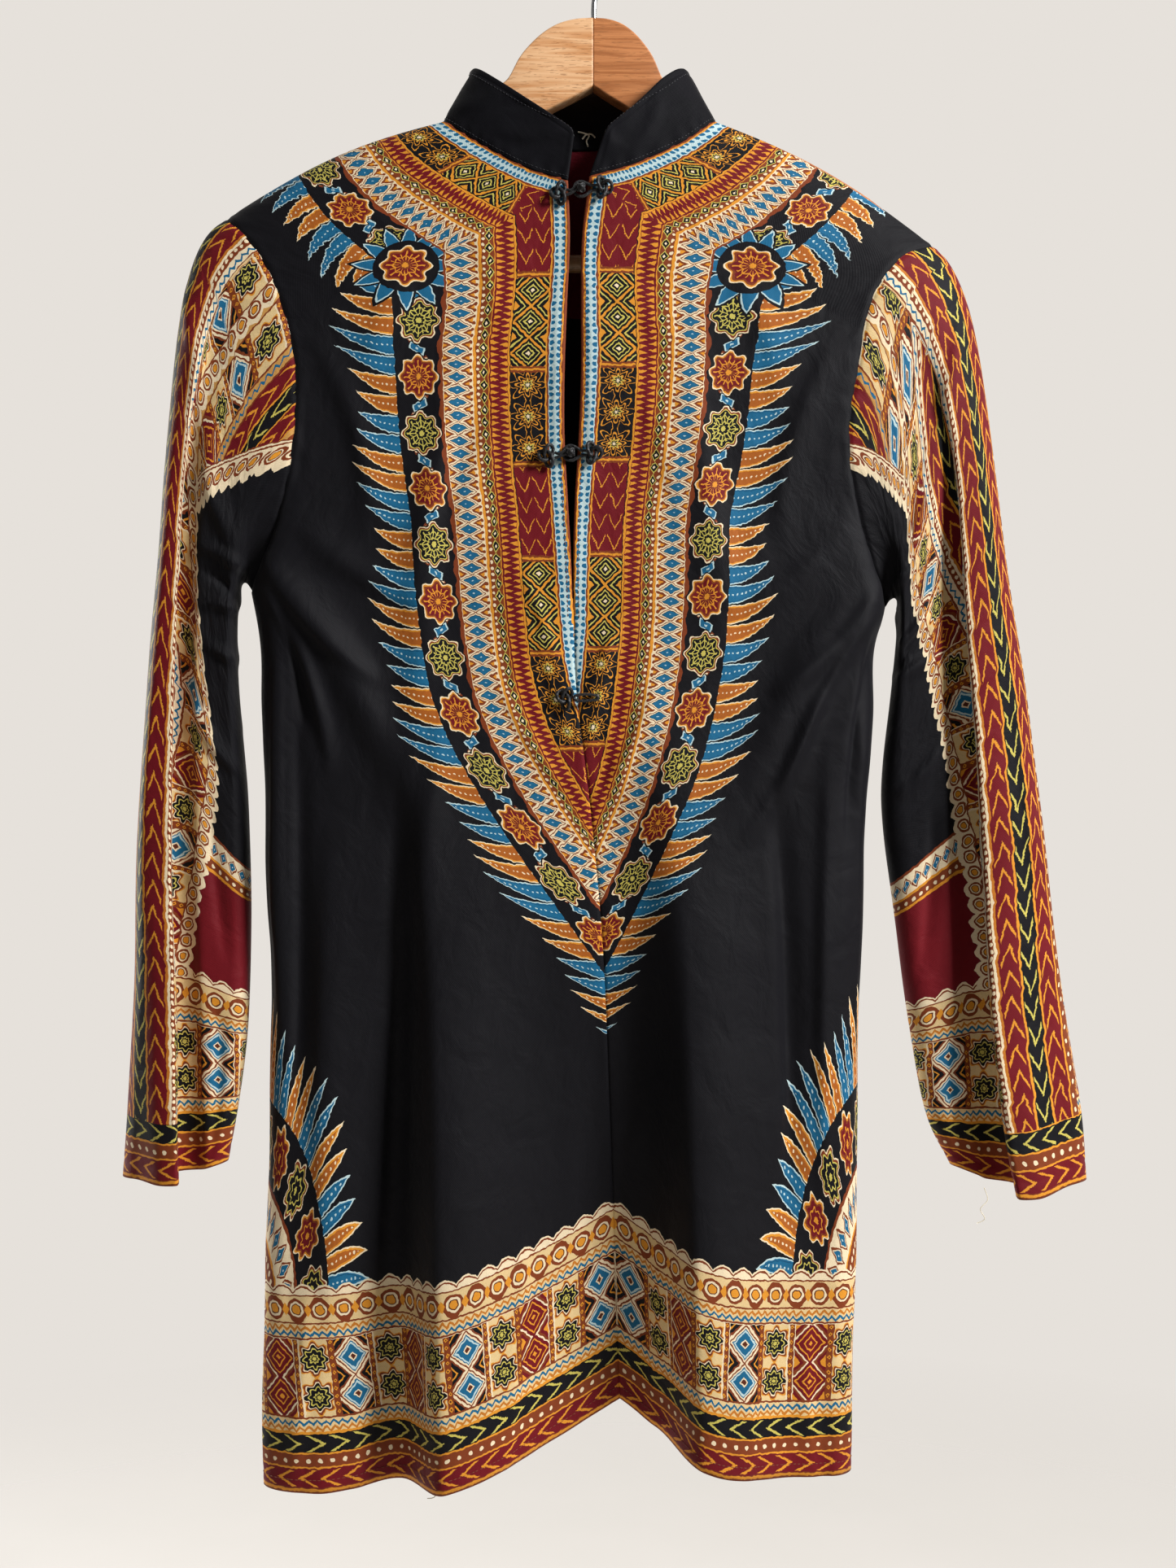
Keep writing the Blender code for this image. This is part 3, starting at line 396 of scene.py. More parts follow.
def addNode(tree, kind, *values, out=0, stops=(), **options):
    # adds a node and returns an output. A kind that isn't listed is the operation of a Math
    # node; values go to the sockets in order, colours by name; stops are (place, colour) pairs
    node = tree.nodes.new(nodeKinds.get(kind, "ShaderNodeMath"))
    sockets = list(node.inputs)
    if kind not in nodeKinds:
        node.operation = kind
    if kind == "MIX":
        node.data_type = "RGBA"
        sockets, out = [node.inputs[i] for i in (0, 6, 7)], 2
    for name in [name for name in options if hasattr(node, name)]:
        setattr(node, name, options.pop(name))
    if stops:
        ramp = node.color_ramp
        ramp.interpolation = "CONSTANT"
        while len(ramp.elements) < len(stops):
            ramp.elements.new(1.0)
        for element, (place, colour) in zip(ramp.elements, stops):
            element.position, element.color = place, linear(colour)
    for socket, value in [*zip(sockets, values), *((node.inputs[k], v) for k, v in options.items())]:
        feed(tree, socket, value)
    return node.outputs[out]


def feed(tree, socket, value):
    # joins a node's output to a socket, or sets its constant: a number, a vector or a colour
    if isinstance(value, bpy.types.NodeSocket):
        tree.links.new(value, socket)
    elif value is not None:
        socket.default_value = linear(value) if isinstance(value, str) else value


def startMaterial(name):
    # a new material, and a pen that adds nodes to it
    material = bpy.data.materials.new(name)
    material.use_nodes = True
    return material, functools.partial(addNode, material.node_tree)


def setShader(material, values):
    # what the material's surface takes: outputs of nodes, numbers or colours
    for name, value in values.items():
        feed(material.node_tree, material.node_tree.nodes["Principled BSDF"].inputs[name], value)
    return material


def steps(pen, value, size, stops):
    # a colour for each range of a value: stops say where each begins, in the value's own unit
    scaled = [(place / size, colour) for place, colour in stops]
    return pen("ramp", pen("DIVIDE", value, size), stops=scaled)


def over(pen, colour, *layers):
    # the colour with each layer painted over it in turn where that layer's mask is 1
    for mask, dye in layers:
        colour = pen("MIX", mask, colour, dye)
    return colour


def centred(pen, along, pitch):
    # place within a repeat, from minus to plus half a pitch
    return pen("SUBTRACT", pen("WRAP", along, pitch, 0.0), pitch / 2)


def spread(pen, u, v):
    # distance from the middle
    return pen("vector", pen("join", u, v), operation="LENGTH", out=1)


def every(pen, along, pitch):
    # 1 in every second repeat
    return pen("GREATER_THAN", pen("WRAP", along, pitch, -pitch), 0.0)


def dots(pen, along, off, middle, pitch, radius):
    # a row of round dots on the line where off is the middle
    return pen("LESS_THAN", spread(pen, centred(pen, along, pitch), pen("SUBTRACT", off, middle)), radius)


def chevrons(pen, along, off, middle, width, reach, pitch=15.5, lean=1.9):
    # feathered arrowheads: a repeat that lags as it leaves the middle, with a combed edge
    away = pen("ABSOLUTE", pen("SUBTRACT", off, middle))
    lag = pen("WRAP", pen("MULTIPLY_ADD", away, lean, along), pitch, 0.0)
    comb = pen("MULTIPLY_ADD", pen("PINGPONG", along, 0.8), 1.3, width)
    return pen("MULTIPLY", pen("LESS_THAN", lag, comb), pen("LESS_THAN", away, reach))


def teeth(pen, along, off, pitch, gap):
    # round-ended teeth that come in from both sides and leave a gap along the middle
    u = pen("PINGPONG", along, pitch / 2)
    bow = pen("MULTIPLY_ADD", pen("MULTIPLY", u, u), 2.4 / pitch, gap)
    outside = pen("GREATER_THAN", pen("ABSOLUTE", off), bow)
    return pen("MULTIPLY", pen("LESS_THAN", u, 0.33 * pitch), outside)


def zigzag(pen, along, off, middle, width, pitch=5.6):
    # 1 on a line that goes up and down at 45 degrees
    line = pen("SUBTRACT", pen("PINGPONG", along, pitch / 2), pitch / 4)
    return pen("COMPARE", pen("SUBTRACT", off, middle), line, width)


def wave(pen, along, pitch, height):
    return pen("MULTIPLY", pen("SINE", pen("MULTIPLY", along, 2 * math.pi / pitch)), height)


def lobes(pen, along, pitch, height, foot):
    # a scalloped line: round bumps, the halves of a sine, on a foot
    bump = pen("ABSOLUTE", pen("SINE", pen("MULTIPLY", along, math.pi / pitch)))
    return pen("MULTIPLY_ADD", bump, height, foot)


def lozenge(pen, along, off, pitch, tall):
    # 0 in the middle of a diamond, 1 on its sides and 2 in the corners between
    across = pen("MULTIPLY", pen("ABSOLUTE", centred(pen, along, pitch)), 2 / pitch)
    return pen("MULTIPLY_ADD", pen("ABSOLUTE", off), 2 / tall, across)


def diamonds(pen, across, stops):
    # colours from the middle of a lozenge outwards
    return steps(pen, across, 2.02, stops)


def dropRow(pen, along, off, pitch, tall):
    # teal drops with rust points between them
    return diamonds(pen, lozenge(pen, along, off, pitch, tall), (
        (0, "pale"), (0.12, "teal"), (0.6, "cream"), (0.72, "rust"), (0.95, "cream")))


def ringRow(pen, along, off, pitch, radii):
    # the distance from the nearest middle in a row of round rings, and their colours on cream
    away = spread(pen, centred(pen, along, pitch), off)
    dyed = zip((0, *radii), ("gold", "brown", "cream", "rust", "cream"))
    return away, steps(pen, away, 24, tuple(dyed))


def rosette(pen, u, v, petals, depth):
    # distance from the middle, stretched by a wave round it so that its rings have petals
    turn = pen("COSINE", pen("MULTIPLY", pen("ARCTAN2", v, u), float(petals)))
    return pen("DIVIDE", spread(pen, u, v), pen("MULTIPLY_ADD", turn, depth, 1 - depth))


def leaves(pen, along, off, pitch, length, curl, wide):
    # a fringe of pointed leaves that bend one way: mm inside the leaf's edge and which colour
    bent = pen("MULTIPLY_ADD", pen("MULTIPLY", off, off), curl, along)
    u = centred(pen, bent, pitch)
    middle = pen("SUBTRACT", bent, u)
    long = pen("MULTIPLY_ADD", pen("SINE", pen("MULTIPLY", middle, 0.9 / pitch)), 0.13 * length, length)
    t = pen("DIVIDE", off, long)
    half = pen("MULTIPLY", pen("SUBTRACT", 1.0, pen("MULTIPLY", t, t)), wide)
    inside = pen("SUBTRACT", half, pen("ABSOLUTE", u))
    warm = steps(pen, inside, 8, ((0, "black"), (0.05, "cream"), (0.75, "gold"), (1.7, "ochre")))
    cool = steps(pen, inside, 8, (
        (0, "black"), (0.05, "pale"), (0.8, "teal"), (1.5, "navy"), (1.9, "teal")))
    dotted = pen("LESS_THAN", spread(pen, u, pen("PINGPONG", off, 1.5)), 0.62)
    vein = pen("MULTIPLY", dotted, pen("GREATER_THAN", inside, 2.0))
    odd = every(pen, bent, 2 * pitch)
    return pen("MIX", vein, pen("MIX", odd, warm, cool), pen("MIX", odd, "cream", "pale"))


def flower(pen, u, v, dark, ground):
    # a round flower of eight petals, 14 mm to its tips, with cream veins; wine or, where dark
    # is 1, black and lime
    ring = rosette(pen, u, v, 8, 0.1)
    wine = steps(pen, ring, 24, (
        (0, "gold"), (1.8, "rust"), (3.0, "wine"), (5.8, "gold"), (6.6, "wine"), (10.4, "rust"),
        (11.6, "gold"), (12.5, "cream"), (13.4, "black")))
    black = steps(pen, ring, 24, (
        (0, "lime"), (1.8, "black"), (3.6, "lime"), (4.4, "black"), (7.2, "lime"), (7.9, "black"),
        (10.8, "lime"), (11.5, "rust"), (12.5, "cream"), (13.4, "black")))
    veins = pen("GREATER_THAN", pen("COSINE", pen("MULTIPLY", pen("ARCTAN2", v, u), 16.0)), 0.7)
    veins = pen("MULTIPLY", veins, pen("COMPARE", ring, 6.5, 3.2))
    petals = over(pen, wine, (dark, black), (veins, pen("MIX", dark, "gold", "lime")))
    return pen("MIX", pen("LESS_THAN", ring, 14.4), ground, petals)


def cellRow(pen, along, up, tall):
    # a row of cells between brown strips: diamonds in teal or wine, and lime rosettes
    stack = tall / max(1, round(tall / 26))
    y = centred(pen, up, stack)
    block = pen("WRAP", along, 104.0, 0.0)
    half = pen("WRAP", along, 52.0, 0.0)
    diamond = lozenge(pen, pen("MINIMUM", half, 24.0), y, 24.0, stack)
    blue = diamonds(pen, diamond, (
        (0, "brown"), (0.16, "cream"), (0.26, "teal"), (0.62, "pale"), (0.74, "teal"), (0.82, "cream"),
        (0.93, "rust"), (1.04, "cream"), (1.2, "rust"), (1.34, "black"), (1.6, "gold"), (1.72, "black")))
    red = diamonds(pen, diamond, (
        (0, "gold"), (0.14, "wine"), (0.36, "gold"), (0.46, "wine"), (0.78, "gold"), (0.88, "wine"),
        (1.1, "cream"), (1.22, "rust"), (1.4, "wine"), (1.62, "gold")))
    bloom = steps(pen, rosette(pen, pen("SUBTRACT", half, 38.0), y, 8, 0.13), 18, (
        (0, "lime"), (1.5, "black"), (2.6, "lime"), (3.5, "black"), (6.4, "lime"), (7.5, "black"),
        (9.6, "cream"), (10.5, "rust"), (12.0, "gold"), (13.0, "straw")))
    strip = pen("MAXIMUM", pen("COMPARE", half, 26.0, 2.2), pen("COMPARE", half, 50.0, 2.2))
    fromStrip = pen("SUBTRACT", pen("WRAP", half, 24.0, 0.0), 2.0)
    beads = diamonds(pen, lozenge(pen, up, fromStrip, 5.2, 4.6), (
        (0, "brown"), (0.25, "gold"), (0.62, "rust")))
    return over(pen, blue,
                (pen("GREATER_THAN", block, 52.0), red),
                (pen("COMPARE", half, 38.0, 10.2), bloom),
                (strip, beads),
                (pen("LESS_THAN", pen("PINGPONG", half, 24.0), 0.6), "cream"))


def scallops(pen, along, up, ground):
    # the border's upper edge: cream lobes with a rust line inside them
    inside = pen("SUBTRACT", lobes(pen, along, 15, 4.2, 137.5), up)
    edge = steps(pen, inside, 12, ((0, "cream"), (1.3, "rust"), (2.6, "cream")))
    return pen("MIX", pen("GREATER_THAN", inside, 0.0), ground, edge)


def waxCotton(name, paint, lengths="cloth", gloss=0.12):
    # printed plain-weave cotton: matt and a little uneven, with a faint crackle where the wax
    # broke; the weave has 0.4 mm threads, drawn 1.1 mm apart so that it shows
    material, pen = startMaterial(name)
    attribute = pen("attribute", attribute_name=lengths, out=1)
    wobble = pen("noise", attribute, Scale=0.22, Detail=1.0, out=1)
    shift = pen("vector", wobble, (0.5, 0.5, 0.5), operation="SUBTRACT")
    shift = pen("vector", shift, (2.2, 2.2, 2.2), operation="MULTIPLY")
    fade = pen("noise", attribute, Scale=0.012, Detail=3.0)
    grain = pen("noise", attribute, Scale=1.3, Detail=2.0)
    worn = pen("MULTIPLY_ADD", fade, 0.34, pen("MULTIPLY_ADD", grain, 0.36, 0.5))
    worn = pen("join", worn, worn, worn)
    warpAndWeft = pen("split", attribute, out=0), pen("split", attribute, out=1)
    threads = [pen("SINE", pen("MULTIPLY", axis, 2 * math.pi / 1.1)) for axis in warpAndWeft]
    weave = pen("MULTIPLY_ADD", pen("MULTIPLY", *threads), 0.5, pen("MULTIPLY", grain, 0.8))
    # the cloth is never pressed quite flat: shallow dents of a few centimetres
    dents = pen("noise", attribute, Scale=0.035, Detail=4.0, Distortion=0.5)
    dents = pen("bump", 0.55, 0.003, Height=dents)
    return setShader(material, {
        "Base Color": pen("MIX", 1.0, paint(pen, attribute, shift), worn, blend_type="MULTIPLY"),
        "Roughness": pen("MULTIPLY_ADD", grain, 0.2, 0.5), "Specular IOR Level": gloss,
        "Sheen Weight": 0.03, "Sheen Roughness": 0.5,
        "Normal": pen("bump", 0.3, 0.0004, Height=weave, Normal=dents)})


def wobbled(pen, name, shift):
    # the three lengths that an attribute holds, moved by the hand-drawn wobble
    moved = pen("vector", pen("attribute", attribute_name=name, out=1), shift, operation="ADD")
    return pen("split", moved, out=0), pen("split", moved, out=1), pen("split", moved, out=2)


def groundColour(pen, attribute, shift):
    # the plain ground between the bands of print
    return "black"


def insideColour(pen, attribute, shift):
    # the cloth's wrong side: wine behind the neck, then the ground's black showing through
    away = pen("split", pen("attribute", attribute_name="neck", out=1))
    return pen("MIX", pen("GREATER_THAN", away, 118.0), "#6e1020", "#1a1115")


def blockBand(pen, along, off):
    # blocks 64 mm long, of arrows on wine, then a lattice, then eight-petalled flowers
    pair = pen("SUBTRACT", pen("PINGPONG", pen("ADD", off, 10.5), 10.5), 5.2)
    arrows = chevrons(pen, along, pair, 0.0, 0.9, 4.6, pitch=14.0, lean=2.1)
    lattice = diamonds(pen, lozenge(pen, along, off, 21.3, 21.0), (
        (0, "cream"), (0.14, "black"), (0.3, "lime"), (0.42, "black"), (0.64, "lime"), (0.74, "black"),
        (0.9, "gold"), (1.1, "black"), (1.32, "lime"), (1.44, "black"), (1.7, "gold")))
    garden = steps(pen, rosette(pen, centred(pen, along, 21.3), off, 8, 0.22), 20, (
        (0, "cream"), (1.4, "black"), (2.6, "lime"), (3.8, "gold"), (4.8, "black"), (6.8, "gold"),
        (8.2, "black"), (11.5, "gold"), (12.6, "black")))
    block = pen("WRAP", along, 192.0, 0.0)
    fromEnd = pen("PINGPONG", along, 32.0)
    return over(pen, pen("MIX", arrows, "wine", "gold"),
                (pen("GREATER_THAN", block, 64.0), lattice),
                (pen("GREATER_THAN", block, 128.0), garden),
                (pen("LESS_THAN", fromEnd, 0.75), "gold"),
                (pen("COMPARE", fromEnd, 1.4, 0.7), "rust"))


def vineBand(pen, colour, along, off, reach):
    # flowers on the ground, in wine and in black, held by a dotted vine with teal buds
    fromVine = pen("SUBTRACT", off, wave(pen, along, 76.0, 9.5))
    bud = lozenge(pen, pen("ADD", along, 19.0), fromVine, 38.0, 38.0)
    buds = diamonds(pen, bud, ((0, "pale"), (0.05, "teal"), (0.2, "pale"), (0.26, "black")))
    colour = over(pen, colour,
                  (pen("COMPARE", fromVine, 0.0, 1.25), "rust"),
                  (dots(pen, along, fromVine, 0.0, 2.6, 0.75), "cream"),
                  (pen("LESS_THAN", bud, 0.3), buds))
    u = pen("MULTIPLY", centred(pen, along, 38.0), 0.86)
    bloom = flower(pen, u, off, every(pen, along, 38.0), colour)
    return pen("MIX", pen("COMPARE", off, 0.0, reach), colour, bloom)


def cornerSun(pen, colour, off, slitOff, neckOff):
    # where the two runs meet below the shoulder, one large flower with rays all round it
    middle, turn = ornament["cornerOut"], math.radians(ornament["cornerTurn"])
    u, v = pen("SUBTRACT", slitOff, middle), pen("SUBTRACT", neckOff, middle)
    v = pen("DIVIDE", pen("SUBTRACT", v, pen("MULTIPLY", u, math.cos(turn))), math.sin(turn))
    ray = pen("DIVIDE", pen("PINGPONG", pen("ARCTAN2", v, u), math.pi / 12), math.pi / 12)
    star = pen("ADD", spread(pen, u, v), pen("MULTIPLY", ray, 15.0))
    spikes = steps(pen, star, 60, ((0, "teal"), (31.0, "pale"), (33.0, "black")))
    onGround = pen("GREATER_THAN", off, ornament["yokeRings"])
    colour = over(pen, colour,
                  (pen("MULTIPLY", pen("LESS_THAN", star, 36.0), onGround), spikes),
                  (pen("MULTIPLY", pen("LESS_THAN", spread(pen, u, v), 19.5), onGround), "black"))
    return flower(pen, pen("MULTIPLY", u, 0.84), pen("MULTIPLY", v, 0.84), 0.0, colour)


def yokeColour(pen, attribute, shift):
    # bands that run down both sides of the slit and round the neck, from the edge outwards
    slitOff, slitDown, _ = wobbled(pen, "slit", shift)
    neckOff, neckAlong, _ = wobbled(pen, "neck", shift)
    bySlit = pen("LESS_THAN", slitOff, neckOff)
    byNeck = pen("SUBTRACT", 1.0, bySlit)
    off = pen("MINIMUM", slitOff, neckOff)

    def alongAt(middle):
        # length along a band: round the neck each ring is longer than the one inside it
        grown = pen("MULTIPLY", neckAlong, 1 + middle / ornament["neckRound"])
        return pen("ADD", pen("MULTIPLY", bySlit, slitDown), pen("MULTIPLY", byNeck, grown))

    base = steps(pen, off, 150, (
        (0, "rust"), (1.6, "gold"), (2.6, "pale"), (9.6, "rust"), (11, "gold"), (12, "black"),
        (33.5, "gold"), (34.7, "wine"), (46.5, "gold"), (47.5, "rust"), (55, "gold"), (56.3, "cream"),
        (76, "rust"), (ornament["yokeRings"], "black")))
    ladder = teeth(pen, alongAt(6.1), pen("SUBTRACT", off, 6.1), 4.4, 0.75)
    blocks = blockBand(pen, alongAt(22.75), pen("SUBTRACT", off, 22.75))
    along = alongAt(40.7)
    combs = []
    for edge, sign in ((35.6, 1.0), (45.6, -1.0)):
        reach = pen("MULTIPLY", pen("SUBTRACT", off, edge), sign)
        tooth = pen("MULTIPLY_ADD", pen("PINGPONG", pen("ADD", along, edge), 2.1), -3.4, 4.9)
        mask = pen("MULTIPLY", pen("LESS_THAN", reach, tooth), pen("COMPARE", off, 40.6, 5.2))
        combs.append((mask, "gold"))
    beads = diamonds(pen, lozenge(pen, along, pen("SUBTRACT", off, 50.2), 8.4, 5.4), (
        (0, "cream"), (0.3, "black"), (0.78, "lime"), (1.0, "rust")))
    colour = over(pen, base,
                  (pen("MULTIPLY", ladder, pen("COMPARE", off, 6.1, 3.3)), "teal"),
                  (pen("COMPARE", off, 22.75, 10.7), blocks),
                  *combs,
                  (pen("COMPARE", off, 50.2, 2.7), beads),
                  (dots(pen, along, off, 53.7, 4.2, 1.0), "cream"))
    along = alongAt(67.0)
    drops = diamonds(pen, lozenge(pen, along, pen("SUBTRACT", off, 67.4), 8.6, 16.5), (
        (0, "pale"), (0.1, "teal"), (0.68, "black"), (0.76, "cream"), (0.94, "rust"), (1.08, "cream"),
        (1.34, "rust"), (1.66, "gold")))
    colour = over(pen, colour,
                  (pen("COMPARE", off, 67.4, 8.4), drops),
                  (dots(pen, along, off, 58.4, 4.3, 1.15), "rust"),
                  (pen("COMPARE", off, lobes(pen, along, 15, 2.2, 76.5), 0.8), "rust"))
    colour = vineBand(pen, colour, alongAt(91.8), pen("SUBTRACT", off, 91.8), 15.2)
    fringe = leaves(pen, alongAt(118.0), pen("SUBTRACT", off, 106.5), 13.2, 30.0, 0.013, 6.3)
    colour = pen("MIX", pen("GREATER_THAN", off, 106.5), colour, fringe)
    return cornerSun(pen, colour, off, slitOff, neckOff)


def borderColour(pen, attribute, shift):
    # the hem's bands, from its edge upwards
    x, up, _ = wobbled(pen, "cloth", shift)
    base = steps(pen, up, 160, (
        (0, "rust"), (1.2, "gold"), (2.6, "rust"), (3.6, "wine"), (16.6, "gold"), (18, "rust"),
        (26.4, "gold"), (27.8, "black"), (40.6, "gold"), (42, "straw"), (51.2, "rust"), (52.6, "cream"),
        (104, "rust"), (105.4, "straw"), (114, "rust"), (115.4, "straw"), (132.8, "rust"), (134.2, "cream")))
    zigzags = [(zigzag(pen, x, up, middle, 1.0), dye) for middle, dye in
               ((44.4, "amber"), (48.2, "teal"), (107.9, "teal"), (111.7, "amber"))]
    fromRings = pen("SUBTRACT", up, 124.1)
    stem = pen("MULTIPLY", pen("COMPARE", fromRings, wave(pen, x, 32.8, 7.4), 1.9),
               pen("COMPARE", fromRings, 0.0, 8.6))
    ring, rings = ringRow(pen, x, fromRings, 16.4, (2.9, 3.6, 5.0, 7.1))
    leaf = pen("LESS_THAN", lozenge(pen, pen("ADD", x, 8.2), fromRings, 16.4, 30.0), 0.3)
    colour = over(pen, base,
                  (chevrons(pen, x, up, 10.1, 2.9, 5.6), "gold"),
                  (dots(pen, x, up, 22.2, 8.2, 1.5), "cream"),
                  (chevrons(pen, pen("MULTIPLY", x, -1.0), up, 34.2, 2.6, 5.5), "lime"),
                  *zigzags,
                  (pen("COMPARE", up, 78.3, 25.7), cellRow(pen, x, pen("SUBTRACT", up, 52.6), 51.4)),
                  (stem, "rust"),
                  (pen("LESS_THAN", ring, 7.1), rings),
                  (pen("MULTIPLY", leaf, pen("COMPARE", fromRings, 0.0, 8.0)), "gold"))
    return pen("MIX", pen("LESS_THAN", up, 134.2), scallops(pen, x, up, "black"), colour)


def sunColour(pen, attribute, shift):
    # half suns on the side seams, in rings of an ellipse, behind the border's scalloped edge
    x, up, side = wobbled(pen, "cloth", shift)
    u = pen("DIVIDE", side, ornament["sunWide"])
    v = pen("DIVIDE", pen("SUBTRACT", up, ornament["sunFoot"]), ornament["sunHigh"])
    off = pen("MULTIPLY", spread(pen, u, v), ornament["sunWide"])
    angle = pen("ARCTAN2", v, u)
    base = steps(pen, off, 100, (
        (0, "wine"), (7, "gold"), (8.2, "wine"), (13, "gold"), (14.4, "rust"), (21, "gold"),
        (22.2, "cream"), (35, "rust"), (36.4, "black")))
    drops = dropRow(pen, pen("MULTIPLY", angle, 46.0), pen("SUBTRACT", off, 28.8), 8.0, 11.6)
    ring = pen("MULTIPLY", angle, 76.0)
    bloom = rosette(pen, centred(pen, ring, 24.0), pen("SUBTRACT", off, 47.5), 8, 0.12)
    wineBloom = steps(pen, bloom, 24, (
        (0, "gold"), (1.5, "wine"), (4.4, "gold"), (5.2, "wine"), (7.4, "rust"), (8.6, "gold"),
        (9.6, "cream"), (10.4, "black")))
    limeBloom = steps(pen, bloom, 24, (
        (0, "lime"), (1.5, "black"), (4.2, "lime"), (5.0, "black"), (7.6, "lime"), (8.5, "rust"),
        (9.6, "cream"), (10.4, "black")))
    blooms = pen("MIX", every(pen, ring, 24.0), wineBloom, limeBloom)
    fringe = pen("MULTIPLY", angle, 112.0), pen("SUBTRACT", off, 59.0), 10.5, 25.0, 0.006, 4.9
    colour = over(pen, base,
                  (dots(pen, pen("MULTIPLY", angle, 28.0), off, 17.8, 4.0, 1.1), "cream"),
                  (pen("COMPARE", off, 28.8, 6.0), drops),
                  (pen("COMPARE", off, 47.5, 10.5), blooms),
                  (pen("GREATER_THAN", off, 59.0), leaves(pen, *fringe)))
    return scallops(pen, x, up, colour)


def arrowStripes(pen, up, across, middles):
    # three stripes of arrows down a sleeve, the middle one the other way up
    stripes = zip(middles, (up, pen("MULTIPLY", up, -1.0), up), ("gold", "lime", "gold"))
    return [(chevrons(pen, along, across, middle, 2.5, 6.0), dye) for middle, along, dye in stripes]


def sleeveField(pen, off, up):
    # between the stripes: black, with a plain wine patch above the cuff under a row of drops
    field = steps(pen, up, 300, (
        (0, "wine"), (216, "gold"), (218, "rust"), (226, "gold"), (227.5, "cream"), (243, "rust"),
        (245, "black")))
    drops = dropRow(pen, off, pen("SUBTRACT", up, 235.4), 9.0, 13.5)
    field = over(pen, field,
                 (pen("COMPARE", up, 235.2, 7.0), drops),
                 (dots(pen, off, up, 222.0, 6.4, 1.5), "cream"))
    return scallops(pen, off, up, field)


def sleeveHead(pen, field, off, up, down):
    # the sleeve's head is printed down to a scalloped edge with rings in it
    inward = pen("SUBTRACT", pen("ABSOLUTE", pen("SUBTRACT", off, 21.5)), 75.0)
    head = pen("SUBTRACT", pen("MULTIPLY_ADD", inward, -0.25, ornament["headFoot"]), down)
    inward = pen("WRAP", inward, 94.4, 0.0)
    crown = steps(pen, inward, 110, (
        (0, "tan"), (3.6, "rust"), (5, "cream"), (35.6, "rust"), (37, "tan"), (45, "rust"),
        (46.4, "wine"), (61, "gold"), (62.4, "black"), (77, "gold"), (78.4, "wine"), (93, "gold")))
    foot = steps(pen, head, 30, ((0, "cream"), (17.6, "rust"), (19.0, "cream"), (20.4, "rust")))
    _, rings = ringRow(pen, inward, pen("SUBTRACT", head, 9.8), 13.0, (2.6, 3.3, 4.3, 6.2))
    foot = pen("MIX", pen("COMPARE", head, 9.8, 7.0), foot, rings)
    crown = over(pen, crown,
                 *arrowStripes(pen, up, inward, (53.7, 69.7, 85.7)),
                 (pen("COMPARE", inward, 20.3, 15.3), cellRow(pen, up, pen("SUBTRACT", inward, 5.0), 30.6)),
                 (zigzag(pen, up, inward, 41.0, 0.9), "teal"),
                 (pen("LESS_THAN", head, 21.6), foot))
    return pen("MIX", pen("GREATER_THAN", lobes(pen, inward, 13, 4.2, head), 0.0), field, crown)


def sleeveColour(pen, attribute, shift):
    # lengthwise stripes over the top of the arm, a row of cells on both sides, then the field
    off, up, down = wobbled(pen, "sleeve", shift)
    base = steps(pen, pen("ADD", off, 70.0), 240, (
        (0, "black"), (12, "cream"), (17, "amber"), (26, "rust"), (27.4, "cream"), (58, "rust"),
        (59.4, "cream"), (66.4, "rust"), (70.6, "cream"), (72.6, "amber"), (75, "wine"), (90, "gold"),
        (91.6, "black"), (105.6, "gold"), (107.2, "wine"), (122.2, "gold"), (123.8, "rust"),
        (132, "gold"), (133.4, "cream"), (164, "rust"), (165.4, "black")))
    _, rings = ringRow(pen, up, pen("ADD", off, 48.5), 11.0, (2.0, 2.6, 3.4, 4.8))
    inField = pen("MAXIMUM", pen("LESS_THAN", off, lobes(pen, up, 11, -3.6, -53.5)),
                  pen("GREATER_THAN", off, 96.5))
    field = sleeveHead(pen, sleeveField(pen, off, up), off, up, down)
    return over(pen, base,
                *arrowStripes(pen, up, off, (12.5, 28.6, 44.7)),
                (dots(pen, up, off, -0.4, 4.4, 1.3), "cream"),
                (dots(pen, up, off, 57.9, 8.2, 1.5), "cream"),
                (zigzag(pen, up, off, -7.1, 0.9), "teal"),
                (pen("COMPARE", off, -27.3, 15.3), cellRow(pen, up, pen("ADD", off, 42.6), 30.6)),
                (pen("COMPARE", off, 78.7, 15.3), cellRow(pen, up, pen("SUBTRACT", off, 63.4), 30.6)),
                (pen("COMPARE", off, -48.5, 4.8), rings),
                (inField, field))


def collarColour(pen, attribute, shift):
    # plain black cotton, washed to charcoal where it is rubbed
    return pen("MIX", pen("noise", attribute, Scale=0.05, Detail=3.0), "#0b0b0e", "#141318")


